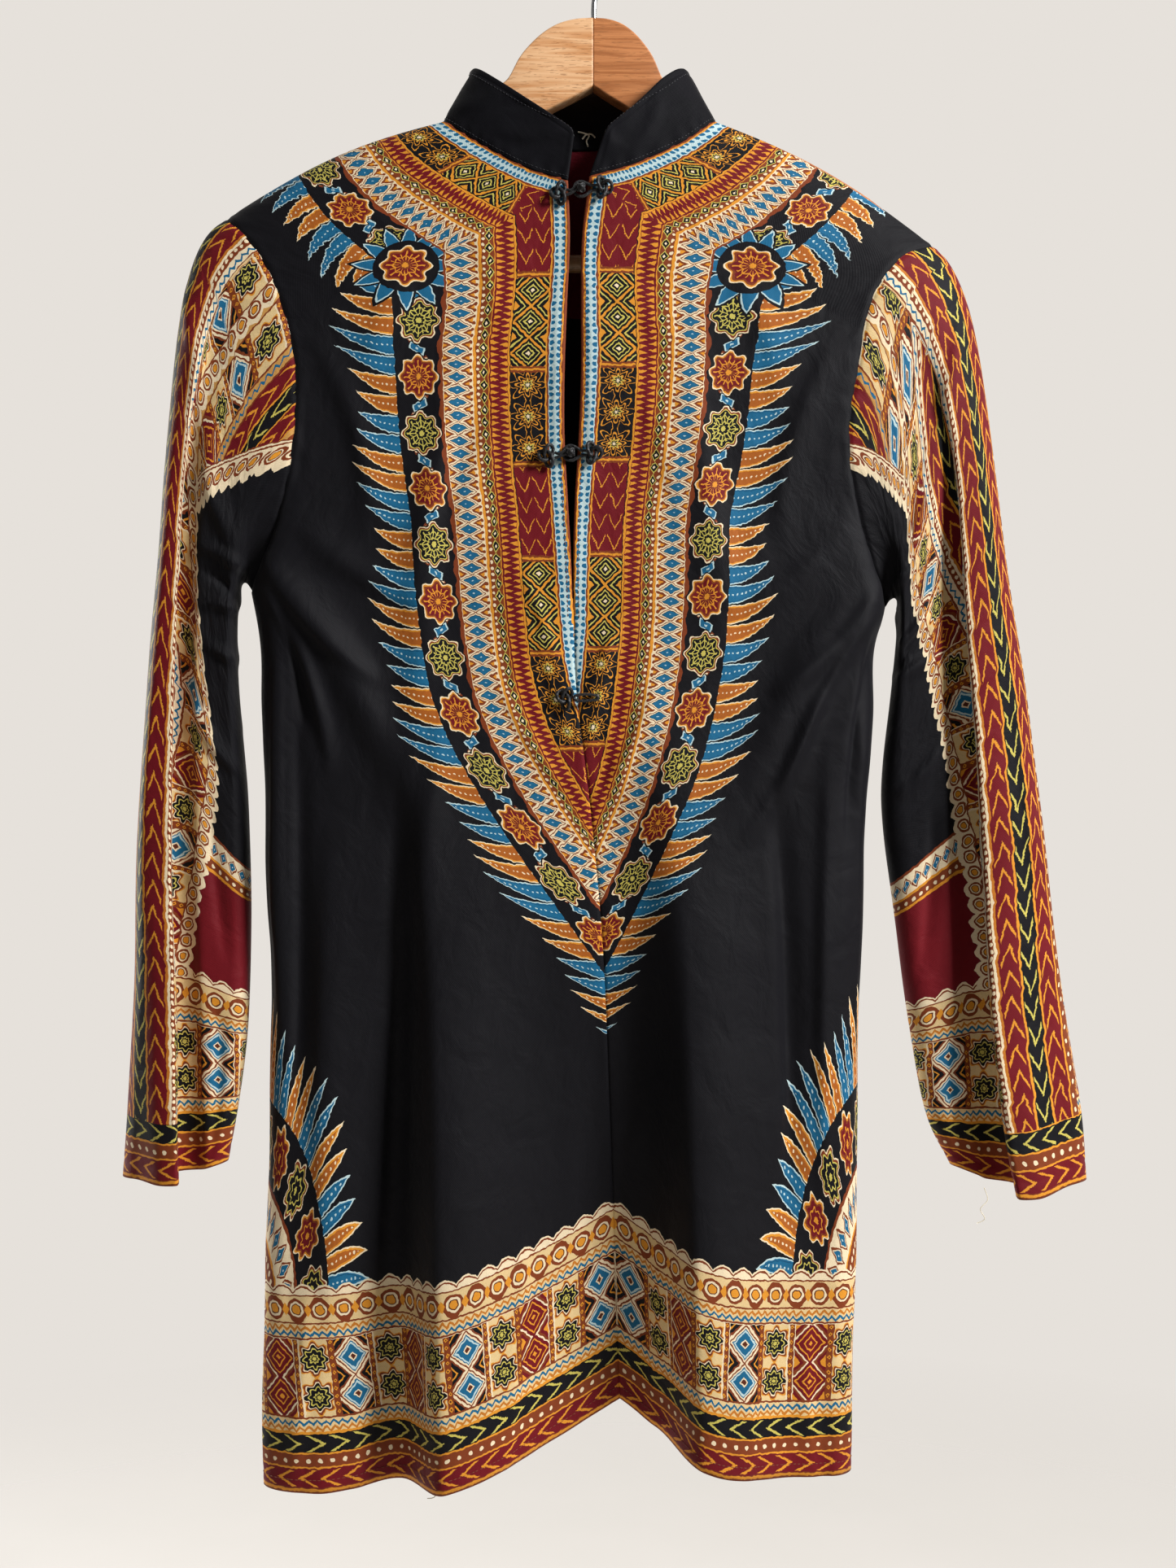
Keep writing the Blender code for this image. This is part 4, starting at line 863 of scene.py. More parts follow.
def beechWood(name, lean, light, dark):
    # planed and lacquered beech: pale, with long soft rings and short dark flecks; lean turns
    # the grain in the arm's own plane, since the two arms are cut from different boards
    # the light and dark tones given to each arm differ between the arms as painted light and shade
    material, pen = startMaterial(name)
    place, tilt = pen("place", out=3), (0.0, math.radians(lean), 0.0)
    rings, fine, flecks = (
        pen("noise", pen("turn", place, None, tilt, (along, across, across)), **noise)
        for along, across, noise in (
            (14.0, 260.0, {"Scale": 0.55, "Detail": 4.0, "Distortion": 0.6}),
            (60.0, 2400.0, {"Scale": 0.5, "Detail": 3.0}),
            (160.0, 1500.0, {"Scale": 1.0, "Detail": 1.0})))
    band = pen("PINGPONG", pen("MULTIPLY", rings, 9.0), 1.0)
    colour = over(pen, pen("MIX", band, light, dark),
                  (pen("MULTIPLY", pen("GREATER_THAN", flecks, 0.64), 0.6), "#8a5830"),
                  (pen("MULTIPLY", fine, 0.35), dark))
    relief = pen("ADD", fine, pen("MULTIPLY", flecks, 0.6))
    return setShader(material, {
        "Base Color": colour, "Roughness": pen("MULTIPLY_ADD", fine, 0.2, 0.36),
        "Coat Weight": 0.25, "Coat Roughness": 0.3, "Normal": pen("bump", 0.2, 0.0002, Height=relief)})


def steelWire():
    # drawn and polished steel wire: bright, with fine lengthwise marks from the die
    material, pen = startMaterial("steelWire")
    marks = pen("noise", pen("place", out=3), Scale=900.0, Detail=3.0)
    return setShader(material, {
        "Base Color": pen("MIX", marks, "#b4b6ba", "#d3d4d6"), "Metallic": 1.0,
        "Roughness": pen("MULTIPLY_ADD", marks, 0.25, 0.16),
        "Normal": pen("bump", 0.12, 0.0001, Height=marks)})


def spunThread(name, dark, light, rough):
    # spun or braided yarn: fibres catch the light along it, so it is streaked and has a sheen
    material, pen = startMaterial(name)
    fibres = pen("noise", pen("place", out=3), Scale=1400.0, Detail=3.0)
    return setShader(material, {
        "Base Color": pen("MIX", fibres, dark, light), "Sheen Weight": 0.1, "Specular IOR Level": 0.4,
        "Roughness": pen("MULTIPLY_ADD", fibres, 0.25, rough),
        "Normal": pen("bump", 0.3, 0.0002, Height=fibres)})


groundCotton = waxCotton("groundCotton", groundColour)
insideCotton = waxCotton("insideCotton", insideColour)
collarCotton = waxCotton("collarCotton", collarColour, gloss=0.05)
braidedCord = spunThread("braidedCord", "#08080a", "#151518", 0.4)
blackThread = spunThread("blackThread", "#101013", "#2a2a2f", 0.5)
brownThread = spunThread("brownThread", "#5c2c18", "#8c4a24", 0.5)
paleThread = spunThread("paleThread", "#cfc2a4", "#efe6d2", 0.6)
yokePrint = waxCotton("yokePrint", yokeColour)
borderPrint = waxCotton("borderPrint", borderColour)
sunPrint = waxCotton("sunPrint", sunColour)
sleevePrint = waxCotton("sleevePrint", sleeveColour, lengths="sleeve")

print("fronts and back")
panels = {
    "upperRows": 92, "lowerRows": 158, "rowsGather": 1.25, "frontColumns": 128, "backColumns": 88,
    "rollShare": 0.09, "rollColumns": 0.2, "seamDip": 0.9, "seamWidth": 2.2, "centreDip": 0.6,
    "centreWidth": 1.6, "hemFold": 11.0, "hemThickness": 1.3, "slitFoot": 12.6, "slitStitchFoot": 13,
    # waves are low on the chest, which the hanger stretches, and higher from some way down
    "wave": {"size": 26, "chest": 0.5, "below": 1.1, "from": 270, "over": 90, "seed": 3},
    "fineWave": {"size": 9, "height": 0.25, "seed": 5},
    "pucker": {"height": 0.35, "pitch": 3.1, "slow": 17, "uneven": 2, "at": 5, "width": 5},
    "hemPucker": {"height": 0.25, "pitch": 4.3, "width": 8},
    # mm over which creases fade in from the side seam, the shoulder and the centre
    "fadeSide": 9, "fadeShoulder": 12, "fadeCentre": 7,
    # a crease is x0, z0, x1, z1, bend, width, height; the heights are multiplied by deep
    "deep": {"front": 1.0, "back": 2.0},
    "frontLeft": (
        (-224, -440, -140, -530, 8, 8, 4.2), (-224, -462, -178, -590, -9, 7, 5.0),
        (-214, -474, -196, -560, -5, 5, -3.2), (-206, -414, -112, -474, 8, 11, 3.0),
        (-214, -505, -212, -790, 3, 6, 3.4), (-201, -520, -203, -840, -3, 7, -3.4),
        (-176, -620, -180, -950, 5, 13, 4.2), (-134, -590, -142, -950, -4, 11, -6.5),
        (-60, -330, -92, -440, 5, 13, 1.8), (-50, -452, -18, -548, -4, 5, 2.0),
        (-38, -488, -15, -566, 2, 4, 1.8), (-66, -520, -20, -600, 4, 6, 1.8),
        (-122, -240, -156, -335, 6, 15, 2.0), (-192, -290, -150, -430, -11, 12, 3.2),
        (-98, -540, -112, -700, 5, 12, 2.6), (-205, -1080, -196, -930, 3, 9, 3.2),
        (-160, -1085, -158, -955, -3, 8, 2.6), (-62, -1070, -48, -900, 3, 9, 3.0),
        (-22, -240, -24, -420, 2, 5, 1.2), (-88, -200, -64, -300, -4, 10, 1.2)),
    "frontRight": (
        (198, -452, 118, -536, -9, 8, 4.4), (196, -474, 124, -612, 10, 7, 4.6),
        (194, -486, 172, -640, 6, 6, -3.8), (176, -414, 90, -482, -8, 11, 3.0),
        (181, -520, 176, -800, -3, 6, 3.2), (160, -560, 158, -900, 4, 9, 4.2),
        (122, -590, 132, -910, -5, 9, -6.0), (152, -530, 96, -640, -6, 8, 3.4),
        (34, -330, 62, -440, -5, 13, 1.8), (26, -470, -8, -556, 4, 5, 2.0),
        (12, -500, -10, -580, -2, 4, 1.8), (44, -520, 0, -612, -4, 6, 1.8),
        (96, -250, 128, -338, -6, 15, 2.0), (168, -290, 126, -434, 11, 12, 3.0),
        (150, -1080, 144, -940, -3, 9, 3.2), (100, -1075, 104, -930, 3, 9, 2.6),
        (38, -1050, 44, -880, 3, 8, 3.0), (-4, -240, -5, -420, -2, 5, 1.1)),
    "backLeft": (
        (-222, -455, -150, -540, 6, 10, 2.6), (-224, -480, -190, -640, -6, 8, 2.6),
        (-200, -330, -150, -430, -8, 13, 2.2), (-120, -200, -90, -330, 6, 16, 1.6),
        (-206, -560, -204, -860, 3, 7, -2.2), (-80, -520, -86, -820, 5, 14, 2.0),
        (-150, -700, -156, -1000, 4, 11, 1.8), (-40, -300, -52, -520, 4, 15, 1.4),
        (-190, -1080, -182, -930, 3, 9, 2.4), (-110, -1085, -104, -950, 3, 9, 2.2)),
    "backRight": (
        (192, -460, 124, -545, -6, 10, 2.4), (192, -490, 158, -650, 6, 8, 2.6),
        (166, -330, 118, -430, 8, 13, 2.0), (88, -200, 62, -330, -6, 16, 1.6),
        (172, -560, 170, -860, -3, 7, -2.0), (52, -540, 60, -830, -5, 14, 2.0),
        (120, -700, 124, -1000, -4, 11, 1.8), (16, -320, 26, -540, -4, 15, 1.4),
        (150, -1080, 142, -930, -3, 9, 2.4), (70, -1085, 66, -950, -3, 9, 2.0)),
}


def panelRows():
    # rows lie closer near the shoulder, where the armhole curves
    armRow, hemRow = tunic["armRow"], tunic["hemRow"]
    upper = np.linspace(0, 1, panels["upperRows"] + 1) ** panels["rowsGather"] * armRow
    lower = np.linspace(armRow, hemRow, panels["lowerRows"] + 1)
    return np.concatenate([upper, lower[1:]])


def panelPlaces(face):
    # more columns where the cloth rolls round at the side seam
    share = np.linspace(0, 1, panels[face + "Columns"] + 1)
    return np.interp(share, [0, panels["rollColumns"], 1], [0, panels["rollShare"], 1])


def ripple(x, z, size, seed):
    # low uneven waves, the sum of five sines in turned directions
    draw = np.random.default_rng(seed)
    total = np.zeros(x.shape)
    for k in range(5):
        angle, pitch = draw.uniform(0, np.pi), size * draw.uniform(0.6, 1.6)
        total += np.sin((x * np.cos(angle) + z * np.sin(angle)) / pitch + draw.uniform(0, 6.3))
    return total / 5


def puckers(along, fromSeam, size):
    # an uneven sine along a seam, highest a little way out from it
    line = np.sin(along / size["pitch"] + size["uneven"] * np.sin(along / size["slow"]))
    return size["height"] * line * bell(fromSeam - size["at"], size["width"])


def hemGroove(aboveHem):
    # the line that a hem's stitches pull in
    return -0.35 * bell(aboveHem - panels["hemFold"], 1.2)


def halfPanel(hand, face):
    # a half panel with its creases, waves, sunk seams, puckers along the armhole and its hem
    rows = panelRows()
    points = panelPoints(hand, face, rows, panelPlaces(face))
    normals = pointed(gridNormals(points), (0, -1 if face == "front" else 1, 0))
    x, z = points[..., 0], points[..., 2]
    fromSide = runAcross(points, 1)
    fromCentre = fromSide[:, -1:] - fromSide
    down = runAcross(points, 0)
    aboveHem = down[-1:] - down
    big, fine, edge = panels["wave"], panels["fineWave"], panels["hemPucker"]
    high = big["chest"] + big["below"] * smooth((-z - big["from"]) / big["over"])
    push = (panels["deep"][face] * creaseHeight(panels[face + hand.capitalize()], x, z)
            + high * ripple(x, z, big["size"], big["seed"])
            + fine["height"] * ripple(x, z, fine["size"], fine["seed"]))
    push = push * smooth(fromSide / panels["fadeSide"]) * smooth(down / panels["fadeShoulder"])
    push = push * smooth(fromCentre / panels["fadeCentre"])
    dip = bell(fromSide, panels["seamWidth"]) + bell(down, panels["seamWidth"])
    if face == "front":
        seamed = rows[:, None] >= panels["slitFoot"]
        dip = dip + panels["centreDip"] * bell(fromCentre, panels["centreWidth"]) * seamed
    atArm = rows[:, None] < tunic["armRow"]
    push = push - panels["seamDip"] * dip + puckers(z, fromSide, panels["pucker"]) * atArm
    pucker = edge["height"] * np.sin(x / edge["pitch"]) * bell(aboveHem, edge["width"])
    push = push + hemGroove(aboveHem) + pucker
    points = points + normals * push[..., None]
    thick = np.where(aboveHem < panels["hemFold"], panels["hemThickness"], tunic["cloth"])
    return {"points": points, "normals": normals, "thick": thick, "fromSide": fromSide,
            "fromCentre": fromCentre, "aboveHem": aboveHem, "rows": rows}


def neckPath(hand, face):
    # the neckline of a half panel, from the centre out to the shoulder
    rows = np.linspace(tunic["cornerRow"], 0, 60)
    return panelPoints(hand, face, rows, np.array([1.0]))[:, 0]


def panelLayers(half, hand, face):
    # cloth: mm from the centre, above the hem, from the side; slit: mm out from the slit and down
    # from its top; neck: mm out from the neckline and along a circle round the neck's middle
    x, z = half["points"][..., 0], half["points"][..., 2]
    path = neckPath(hand, face)
    neckAway = distanceTo(path, half["points"])
    turn = np.arctan2(np.abs(x - tunic["middle"]), ornament["neckMiddle"] - z)
    neckAlong = turn * ornament["neckRound"]
    down = path[0, 2] - z
    # the bands lean in to a tip below the slit, and spread a little beside its upper half
    bend = ornament["yokeBend"]
    tip = np.log1p(np.exp(np.clip((down - ornament["yokeTip"]) / bend, -30, 30))) * bend
    widen = np.interp(down, ornament["widenDown"], ornament["widenBy"])
    # above the slit's top the rows end at the neckline, so the way out from the slit is level
    rows, corner = half["rows"][:, None], tunic["cornerRow"]
    centre = table(tunic["centreColumns"], tunic["centre"])
    level = np.abs(x - column(centre, hand + "X", np.maximum(rows, corner), corner))
    fromSlit = level + (half["fromCentre"] - level) * smooth((rows - corner) / 2)
    slitAway = fromSlit / widen + ornament["yokeSlope"] * tip
    if face == "back":
        slitAway = slitAway + ornament["nowhere"]
    zero = np.zeros_like(down)
    return {
        "cloth": np.stack([half["fromCentre"], half["aboveHem"], half["fromSide"]], axis=-1),
        "slit": np.stack([slitAway, down, zero], axis=-1),
        "neck": np.stack([neckAway, neckAlong, zero], axis=-1)}


def quadMean(values, quads):
    return values.ravel()[quads].mean(axis=1)


def panelSlots(layers, quads):
    # which print each face takes: 0 the ground, 1 the yoke, 2 the hem's border, 3 a side sun
    cloth = layers["cloth"]
    away = quadMean(np.minimum(layers["slit"][..., 0], layers["neck"][..., 0]), quads)
    up = quadMean(cloth[..., 1], quads)
    sunX = cloth[..., 2] / ornament["sunWide"]
    sunY = (cloth[..., 1] - ornament["sunFoot"]) / ornament["sunHigh"]
    sun = quadMean(np.hypot(sunX, sunY), quads) < ornament["sunReach"]
    slots = np.where(away < ornament["yokeReach"], 1, 0)
    slots = np.where(up < ornament["borderTop"], 2, slots)
    return np.where(sun & (up > ornament["borderSeam"]), 3, slots)


def shareEdge(left, right, joined):
    # both halves take the middle of their two centre edges on the joined rows
    for key in ("points", "normals"):
        shared = (left[key][joined, -1] + right[key][joined, -1]) / 2
        left[key][joined, -1] = right[key][joined, -1] = unit(shared) if key == "normals" else shared


panelMaterials = [groundCotton, yokePrint, borderPrint, sunPrint, insideCotton]
halves = {}
for hand in ("left", "right"):
    for face in ("front", "back"):
        half = halfPanel(hand, face)
        half["layers"] = panelLayers(half, hand, face)
        halves[face + hand.capitalize()] = half
shareEdge(halves["frontLeft"], halves["frontRight"], halves["frontLeft"]["rows"] >= panels["slitFoot"])
shareEdge(halves["backLeft"], halves["backRight"], halves["backLeft"]["rows"] >= tunic["cornerRow"])


def makePanel(name, node, parts, quads, **size):
    # one cloth piece of one or two half panels, hung over both arms of the hanger
    def listed(values):
        return np.concatenate([part.reshape(-1, *part.shape[2:]) for part in values])

    layers = {key: listed([half["layers"][key] for half in parts]) for key in parts[0]["layers"]}
    points, normals, thick = (
        listed([half[key] for half in parts]) for key in ("points", "normals", "thick"))
    slots = panelSlots(layers, quads)
    piece = makeWall(name, points, normals, thick, quads, panelMaterials, slots, layers, 4)
    attach(piece, node)


def makeFront(hand, area):
    half = halves["front" + hand.capitalize()]
    makePanel("front" + hand.capitalize(), "front_" + hand, [half], gridQuads(gridIndex(half["points"])),
              flat=(0.27, 0.93), area=area)


def makeBack():
    # the two halves share the centre column below the neckline
    left, right = halves["backLeft"], halves["backRight"]
    index = gridIndex(left["points"])
    other = index + index.size
    joined = left["rows"] >= tunic["cornerRow"]
    other[joined, -1] = index[joined, -1]
    quads = np.concatenate([gridQuads(index), gridQuads(other)[:, ::-1]])
    makePanel("backPanel", "back", [left, right], quads, flat=(0.5, 0.93))


makeFront("left", 0.215)
makeFront("right", 0.185)
makeBack()

print("sleeves")
sleeves = {
    "rows": 230, "rowsGather": 1.15, "around": 168, "lastRow": 18.0, "blend": 9.0, "start": 7.0,
    "roll": 0.14, "allowance": 0.6, "strip": (0, 0.012, 0.024), "hemExtra": 0.5,
    # the print: mm above the cuff and mm from the crest where each part of it begins
    "edgeRows": 41.3, "stripesFrom": -3.0, "stripesTo": 62.0, "borderShift": 300.0, "fieldFrom": 55.0,
    # the crest's slopes out towards the shoulder's side and in, and how wide it droops at the
    # cuff, as shares of the sleeve's width
    "crestOuter": 0.34, "crestInner": 0.085, "droop": 0.3,
    # the tuck beside the crest: mm, crest that makes it full, mm in from the crest where the
    # hidden print starts; then size, place and width of the overhang, the hollow and its depth
    "tuck": 6.5, "tuckCrest": 14, "tuckAt": 12.0,
    "overhang": (0.8, 0, 0.06), "hollow": (1.9, 0.125, 0.05), "hollowDeep": (1.3, 0.15, 0.07),
    # below this height the print is moved on by what the fold hides, over rows that blend
    "hiddenFrom": 430, "hiddenOver": 90, "hiddenRows": 12, "besideCrest": 8,
    "wave": {"size": 19, "height": 0.4, "parted": 40, "seed": 8},
    "pucker": {"height": 0.45, "pitch": 2.9, "slow": 13, "uneven": 2, "at": 5, "width": 6},
    "seamDip": 0.9, "seamWidth": 2.0, "fadeSeam": 16, "facing": 1.5, "deepBack": 1.5,
    # z and x of the edge where the plain field begins, in under the arm
    "leftField": (
        (-430, -271), (-505, -268), (-533, -262), (-586, -255), (-615, -260), (-670, -267), (-714, -280)),
    "rightField": (
        (-400, 203), (-415, 206), (-480, 218), (-545, 233.5), (-583, 241), (-650, 253), (-718, 267)),
    "columns": ("row", "outX", "outZ", "inX", "inZ", "front", "back", "crestAt", "crest", "drop"),
    "left": (
        (0, -252.5, -205, -235, -464, 22, 14, 0.16, 0, 0),
        (2, -270, -231, -242, -488, 21, 14, 0.16, 3, 0),
        (4, -282, -276, -244, -514, 19, 14, 0.17, 6, 0),
        (6, -290, -345, -243.5, -544, 17, 14, 0.18, 9, 0),
        (8, -298, -430, -240.5, -582, 15, 14, 0.20, 13, 0),
        (10, -307, -528, -238, -625, 13, 14, 0.25, 16, 0),
        (12, -314, -632, -236.5, -688, 12, 14, 0.30, 19, 0),
        (14, -316, -730, -238.5, -756, 12, 14, 0.36, 22, 1),
        (16, -321, -814, -245, -814, 12, 15, 0.46, 25, 3),
        (18, -324.5, -864, -252, -854, 12, 15, 0.56, 28, 5)),
    "right": (
        (0, 235, -224, 200.5, -474, 22, 14, 0.20, 0, 0),
        (2, 250, -254, 205.5, -498, 21, 14, 0.21, 3, 0),
        (4, 264, -300, 204, -523, 19, 14, 0.23, 6, 0),
        (6, 273, -360, 201, -552, 17, 14, 0.26, 9, 0),
        (8, 283, -436, 198.5, -588, 15, 14, 0.30, 13, 0),
        (10, 297, -527, 200.5, -632, 13, 14, 0.34, 16, 0),
        (12, 310, -628, 208.5, -695, 12, 14, 0.40, 19, 0),
        (14, 322, -733, 218, -764, 12, 14, 0.46, 22, 2),
        (16, 335.5, -816, 229.5, -822, 12, 15, 0.50, 25, 6),
        (18, 339.5, -866, 246, -856, 12, 15, 0.53, 28, 12)),
    # creases on the front of each sleeve, then on its back
    "leftFront": (
        (-274, -432, -228, -462, -5, 5, 4.0), (-272, -448, -240, -474, -4, 4, -3.2),
        (-272, -474, -238, -484, -6, 4.5, 3.6), (-268, -500, -238, -520, -3, 5, 3.0),
        (-262, -380, -240, -440, 4, 8, 3.0), (-272, -540, -240, -590, 5, 6, 3.0),
        (-276, -300, -262, -420, -4, 9, 2.6), (-262, -600, -250, -720, 3, 6, -2.4),
        (-300, -520, -304, -700, 2, 5, 1.4), (-258, -740, -262, -860, -3, 6, -2.6),
        (-280, -250, -262, -330, 3, 7, 1.8)),
    "rightFront": (
        (232, -436, 196, -478, 5, 5, 3.6), (228, -470, 200, -506, -4, 5, 3.4),
        (230, -486, 206, -520, 4, 4, -2.8), (236, -506, 202, -530, 3, 5, 2.8),
        (226, -390, 206, -450, -4, 8, 2.8), (240, -560, 206, -604, -4, 6, 2.8),
        (244, -310, 232, -430, 4, 9, 2.4), (232, -610, 222, -730, -3, 6, -2.4),
        (282, -520, 300, -700, -2, 5, 1.4), (246, -750, 252, -860, 3, 6, -2.6),
        (250, -262, 236, -340, -3, 7, 1.8)),
    "leftBack": (
        (-254, -450, -232, -484, 3, 6, 2.4), (-266, -480, -238, -516, 4, 6, 2.4),
        (-280, -520, -242, -560, 4, 7, 2.0), (-290, -430, -262, -470, 3, 7, 1.6),
        (-276, -300, -258, -420, -5, 10, 2.2), (-284, -600, -262, -700, 4, 8, 2.0),
        (-292, -680, -286, -850, -4, 8, 2.2), (-262, -720, -264, -856, 3, 7, -1.8)),
    "rightBack": (
        (220, -456, 200, -492, -3, 6, 2.4), (236, -486, 204, -524, -4, 6, 2.4),
        (252, -530, 208, -570, -4, 7, 2.0), (262, -436, 228, -478, -3, 7, 1.6),
        (246, -310, 226, -430, 5, 10, 2.2), (266, -610, 232, -710, -4, 8, 2.0),
        (300, -680, 304, -850, 4, 8, 2.2), (252, -720, 262, -856, -3, 7, -1.8)),
}


def sleeveSection(data, row, share, face):
    # depth of the cloth at a share of the width: rolled round at both edges, with one long crest
    roll = np.minimum(quarterRoll(share / sleeves["roll"]), quarterRoll((1 - share) / sleeves["roll"]))
    if face == "back":
        return column(data, "back", row) * roll
    off = share - column(data, "crestAt", row)
    crest = bell(off, np.where(off < 0, sleeves["crestOuter"], sleeves["crestInner"]))
    return -(column(data, "front", row) + column(data, "crest", row) * crest) * roll


def armSeam(hand, half):
    # the armhole's points as a ring, and the level directions that leave it square to the seam.
    # A ring starts at the shoulder, runs down the front to the seam under the arm, where its
    # number is half, and goes back up behind
    armRows = np.linspace(0, tunic["armRow"], half + 1)
    sides, inner, normals = [], [], []
    for face in ("front", "back"):
        strip = panelPoints(hand, face, armRows, np.array(sleeves["strip"]))
        normals.append(pointed(gridNormals(strip)[:, 0], (0, -1 if face == "front" else 1, 0)))
        sides.append(strip[:, 0])
        inner.append(strip[:, 1])
    for end in (0, -1):
        normals[0][end] = normals[1][end] = unit(normals[0][end] + normals[1][end])

    def around(pair):
        return np.concatenate([pair[0], pair[1][-2:0:-1]])

    seam = around(sides)
    run = np.roll(seam, -1, axis=0) - np.roll(seam, 1, axis=0)
    away = unit(np.cross(around(normals), run) * (1, 0, 1))
    for _ in range(3 * (len(seam) // 32) ** 2):
        away = (np.roll(away, 1, axis=0) + 2 * away + np.roll(away, -1, axis=0)) / 4
    return seam, pointed(unit(away), seam - around(inner))


def sleeveRings(hand):
    # rings that leave the armhole and turn into flat folded sections, and each ring's crest
    data = table(sleeves["columns"], sleeves[hand])
    half = sleeves["around"] // 2
    seam, away = armSeam(hand, half)
    rows = np.linspace(0, 1, sleeves["rows"] + 1) ** sleeves["rowsGather"] * sleeves["lastRow"]
    place = np.arange(2 * half)
    share = (1 - np.cos(np.pi * place / half)) / 2
    row, s = np.meshgrid(rows, share, indexing="ij")
    isFront = np.broadcast_to(place <= half, row.shape)
    x = column(data, "outX", row) + (column(data, "inX", row) - column(data, "outX", row)) * s
    z = column(data, "outZ", row) + (column(data, "inZ", row) - column(data, "outZ", row)) * s
    y = np.where(isFront, sleeveSection(data, row, s, "front"), sleeveSection(data, row, s, "back"))
    off = s - column(data, "crestAt", row)
    z = z - column(data, "drop", row) * bell(off, sleeves["droop"]) * isFront
    # the crest hangs over the hollow beside it, which is tucked in under it
    tuck = sleeves["tuck"] * smooth(column(data, "crest", row) / sleeves["tuckCrest"]) * isFront
    out, back, deep = (size * tuck * bell(off - at, width) for size, at, width in
                       (sleeves["overhang"], sleeves["hollow"], sleeves["hollowDeep"]))
    section = np.stack([x + np.sign(x[-1, half] - x[-1, 0]) * (out - back), y + deep, z], axis=-1)
    begin = seam[None] + away[None] * (sleeves["start"] * row[..., None] - sleeves["allowance"])
    ring = begin + (section - begin) * smooth(row / sleeves["blend"])[..., None]
    crestAt = np.interp(rows, data["row"], data["crestAt"])
    return ring, np.argmin(np.abs(share[:half] - crestAt[:, None]), axis=1), half


def fromSleeveCrest(hand, ring, before, crest, half):
    # mm round the cloth from the crest: out over the top of the arm positive, in towards the
    # seam negative, where it jumps on so that the field's edge comes where its table has it
    around = runAcross(np.concatenate([ring, ring[:, :1]], axis=1), 1)
    fromCrest = around[:, :-1] - np.take_along_axis(around, crest[:, None], axis=1)
    back = np.arange(ring.shape[1])[None] > half
    across = np.where(back, around[:, -1:] - fromCrest, -fromCrest)
    edge = np.array(sleeves[hand + "Field"], float)
    x, z = before[..., 0], before[..., 2]
    beyond = (1 if hand == "left" else -1) * (x - np.interp(-z, -edge[:, 0], edge[:, 1]))
    near = [slice(first, half) for first in crest + sleeves["besideCrest"]]
    hidden = [np.interp(0, beyond[k, part], across[k, part]) for k, part in enumerate(near)]
    reach = sleeves["hiddenRows"]
    mean = np.full(2 * reach + 1, 1 / (2 * reach + 1))
    hidden = np.convolve(np.pad(hidden, reach, "edge"), mean, "valid")[:, None] + sleeves["fieldFrom"]
    hidden = hidden * smooth((-z[:, half:half + 1] - sleeves["hiddenFrom"]) / sleeves["hiddenOver"])
    return np.where((across < -sleeves["tuckAt"]) & ~back, across - hidden, across)


def makeSleeve(hand):
    # a tube of cloth with creases before and behind, waves, and puckers round the armhole
    rings, crest, half = sleeveRings(hand)
    normals = pointed(gridNormals(rings, closed=True), rings - rings.mean(axis=1, keepdims=True))
    x, z, facing = rings[..., 0], rings[..., 2], sleeves["facing"] * normals[..., 1]
    length = runAcross(rings, 0).mean(axis=1, keepdims=True)
    aboveCuff = length[-1:] - length
    size = sleeves["wave"]
    push = (creaseHeight(sleeves[hand + "Front"], x, z) * np.clip(-facing, 0, 1)
            + sleeves["deepBack"] * creaseHeight(sleeves[hand + "Back"], x, z) * np.clip(facing, 0, 1)
            + size["height"] * ripple(x + size["parted"] * normals[..., 1], z, size["size"], size["seed"]))
    push = push * smooth(length / sleeves["fadeSeam"]) + puckers(z, length, sleeves["pucker"])
    push = push + hemGroove(aboveCuff) - sleeves["seamDip"] * bell(length, sleeves["seamWidth"])
    ring = rings + normals * push[..., None]
    across = fromSleeveCrest(hand, ring, rings, crest, half)
    up = np.broadcast_to(aboveCuff, across.shape)
    nowhere = np.full(across.shape, ornament["nowhere"])
    layers = {
        "sleeve": np.stack([across, up, -ring[..., 2]], axis=-1).reshape(-1, 3),
        "cloth": np.stack([across + sleeves["borderShift"], up, nowhere], axis=-1).reshape(-1, 3),
        "neck": np.stack([nowhere, nowhere, nowhere], axis=-1).reshape(-1, 3)}
    quads = gridQuads(gridIndex(ring), True)
    low, out = quadMean(up, quads), quadMean(across, quads)
    beside = (out < sleeves["stripesFrom"]) | (out > sleeves["stripesTo"])
    slots = ((low < sleeves["edgeRows"]) | (beside & (low < ornament["borderSeam"]))).astype(int)
    thick = tunic["cloth"] + sleeves["hemExtra"] * (up < panels["hemFold"])
    name = hand.capitalize()
    piece = makeWall("sleeve" + name, ring.reshape(-1, 3), normals.reshape(-1, 3), thick.ravel(), quads,
                     [sleevePrint, borderPrint, insideCotton], slots, layers, 2)
    attach(piece, "sleeve_" + hand)


makeSleeve("left")
makeSleeve("right")

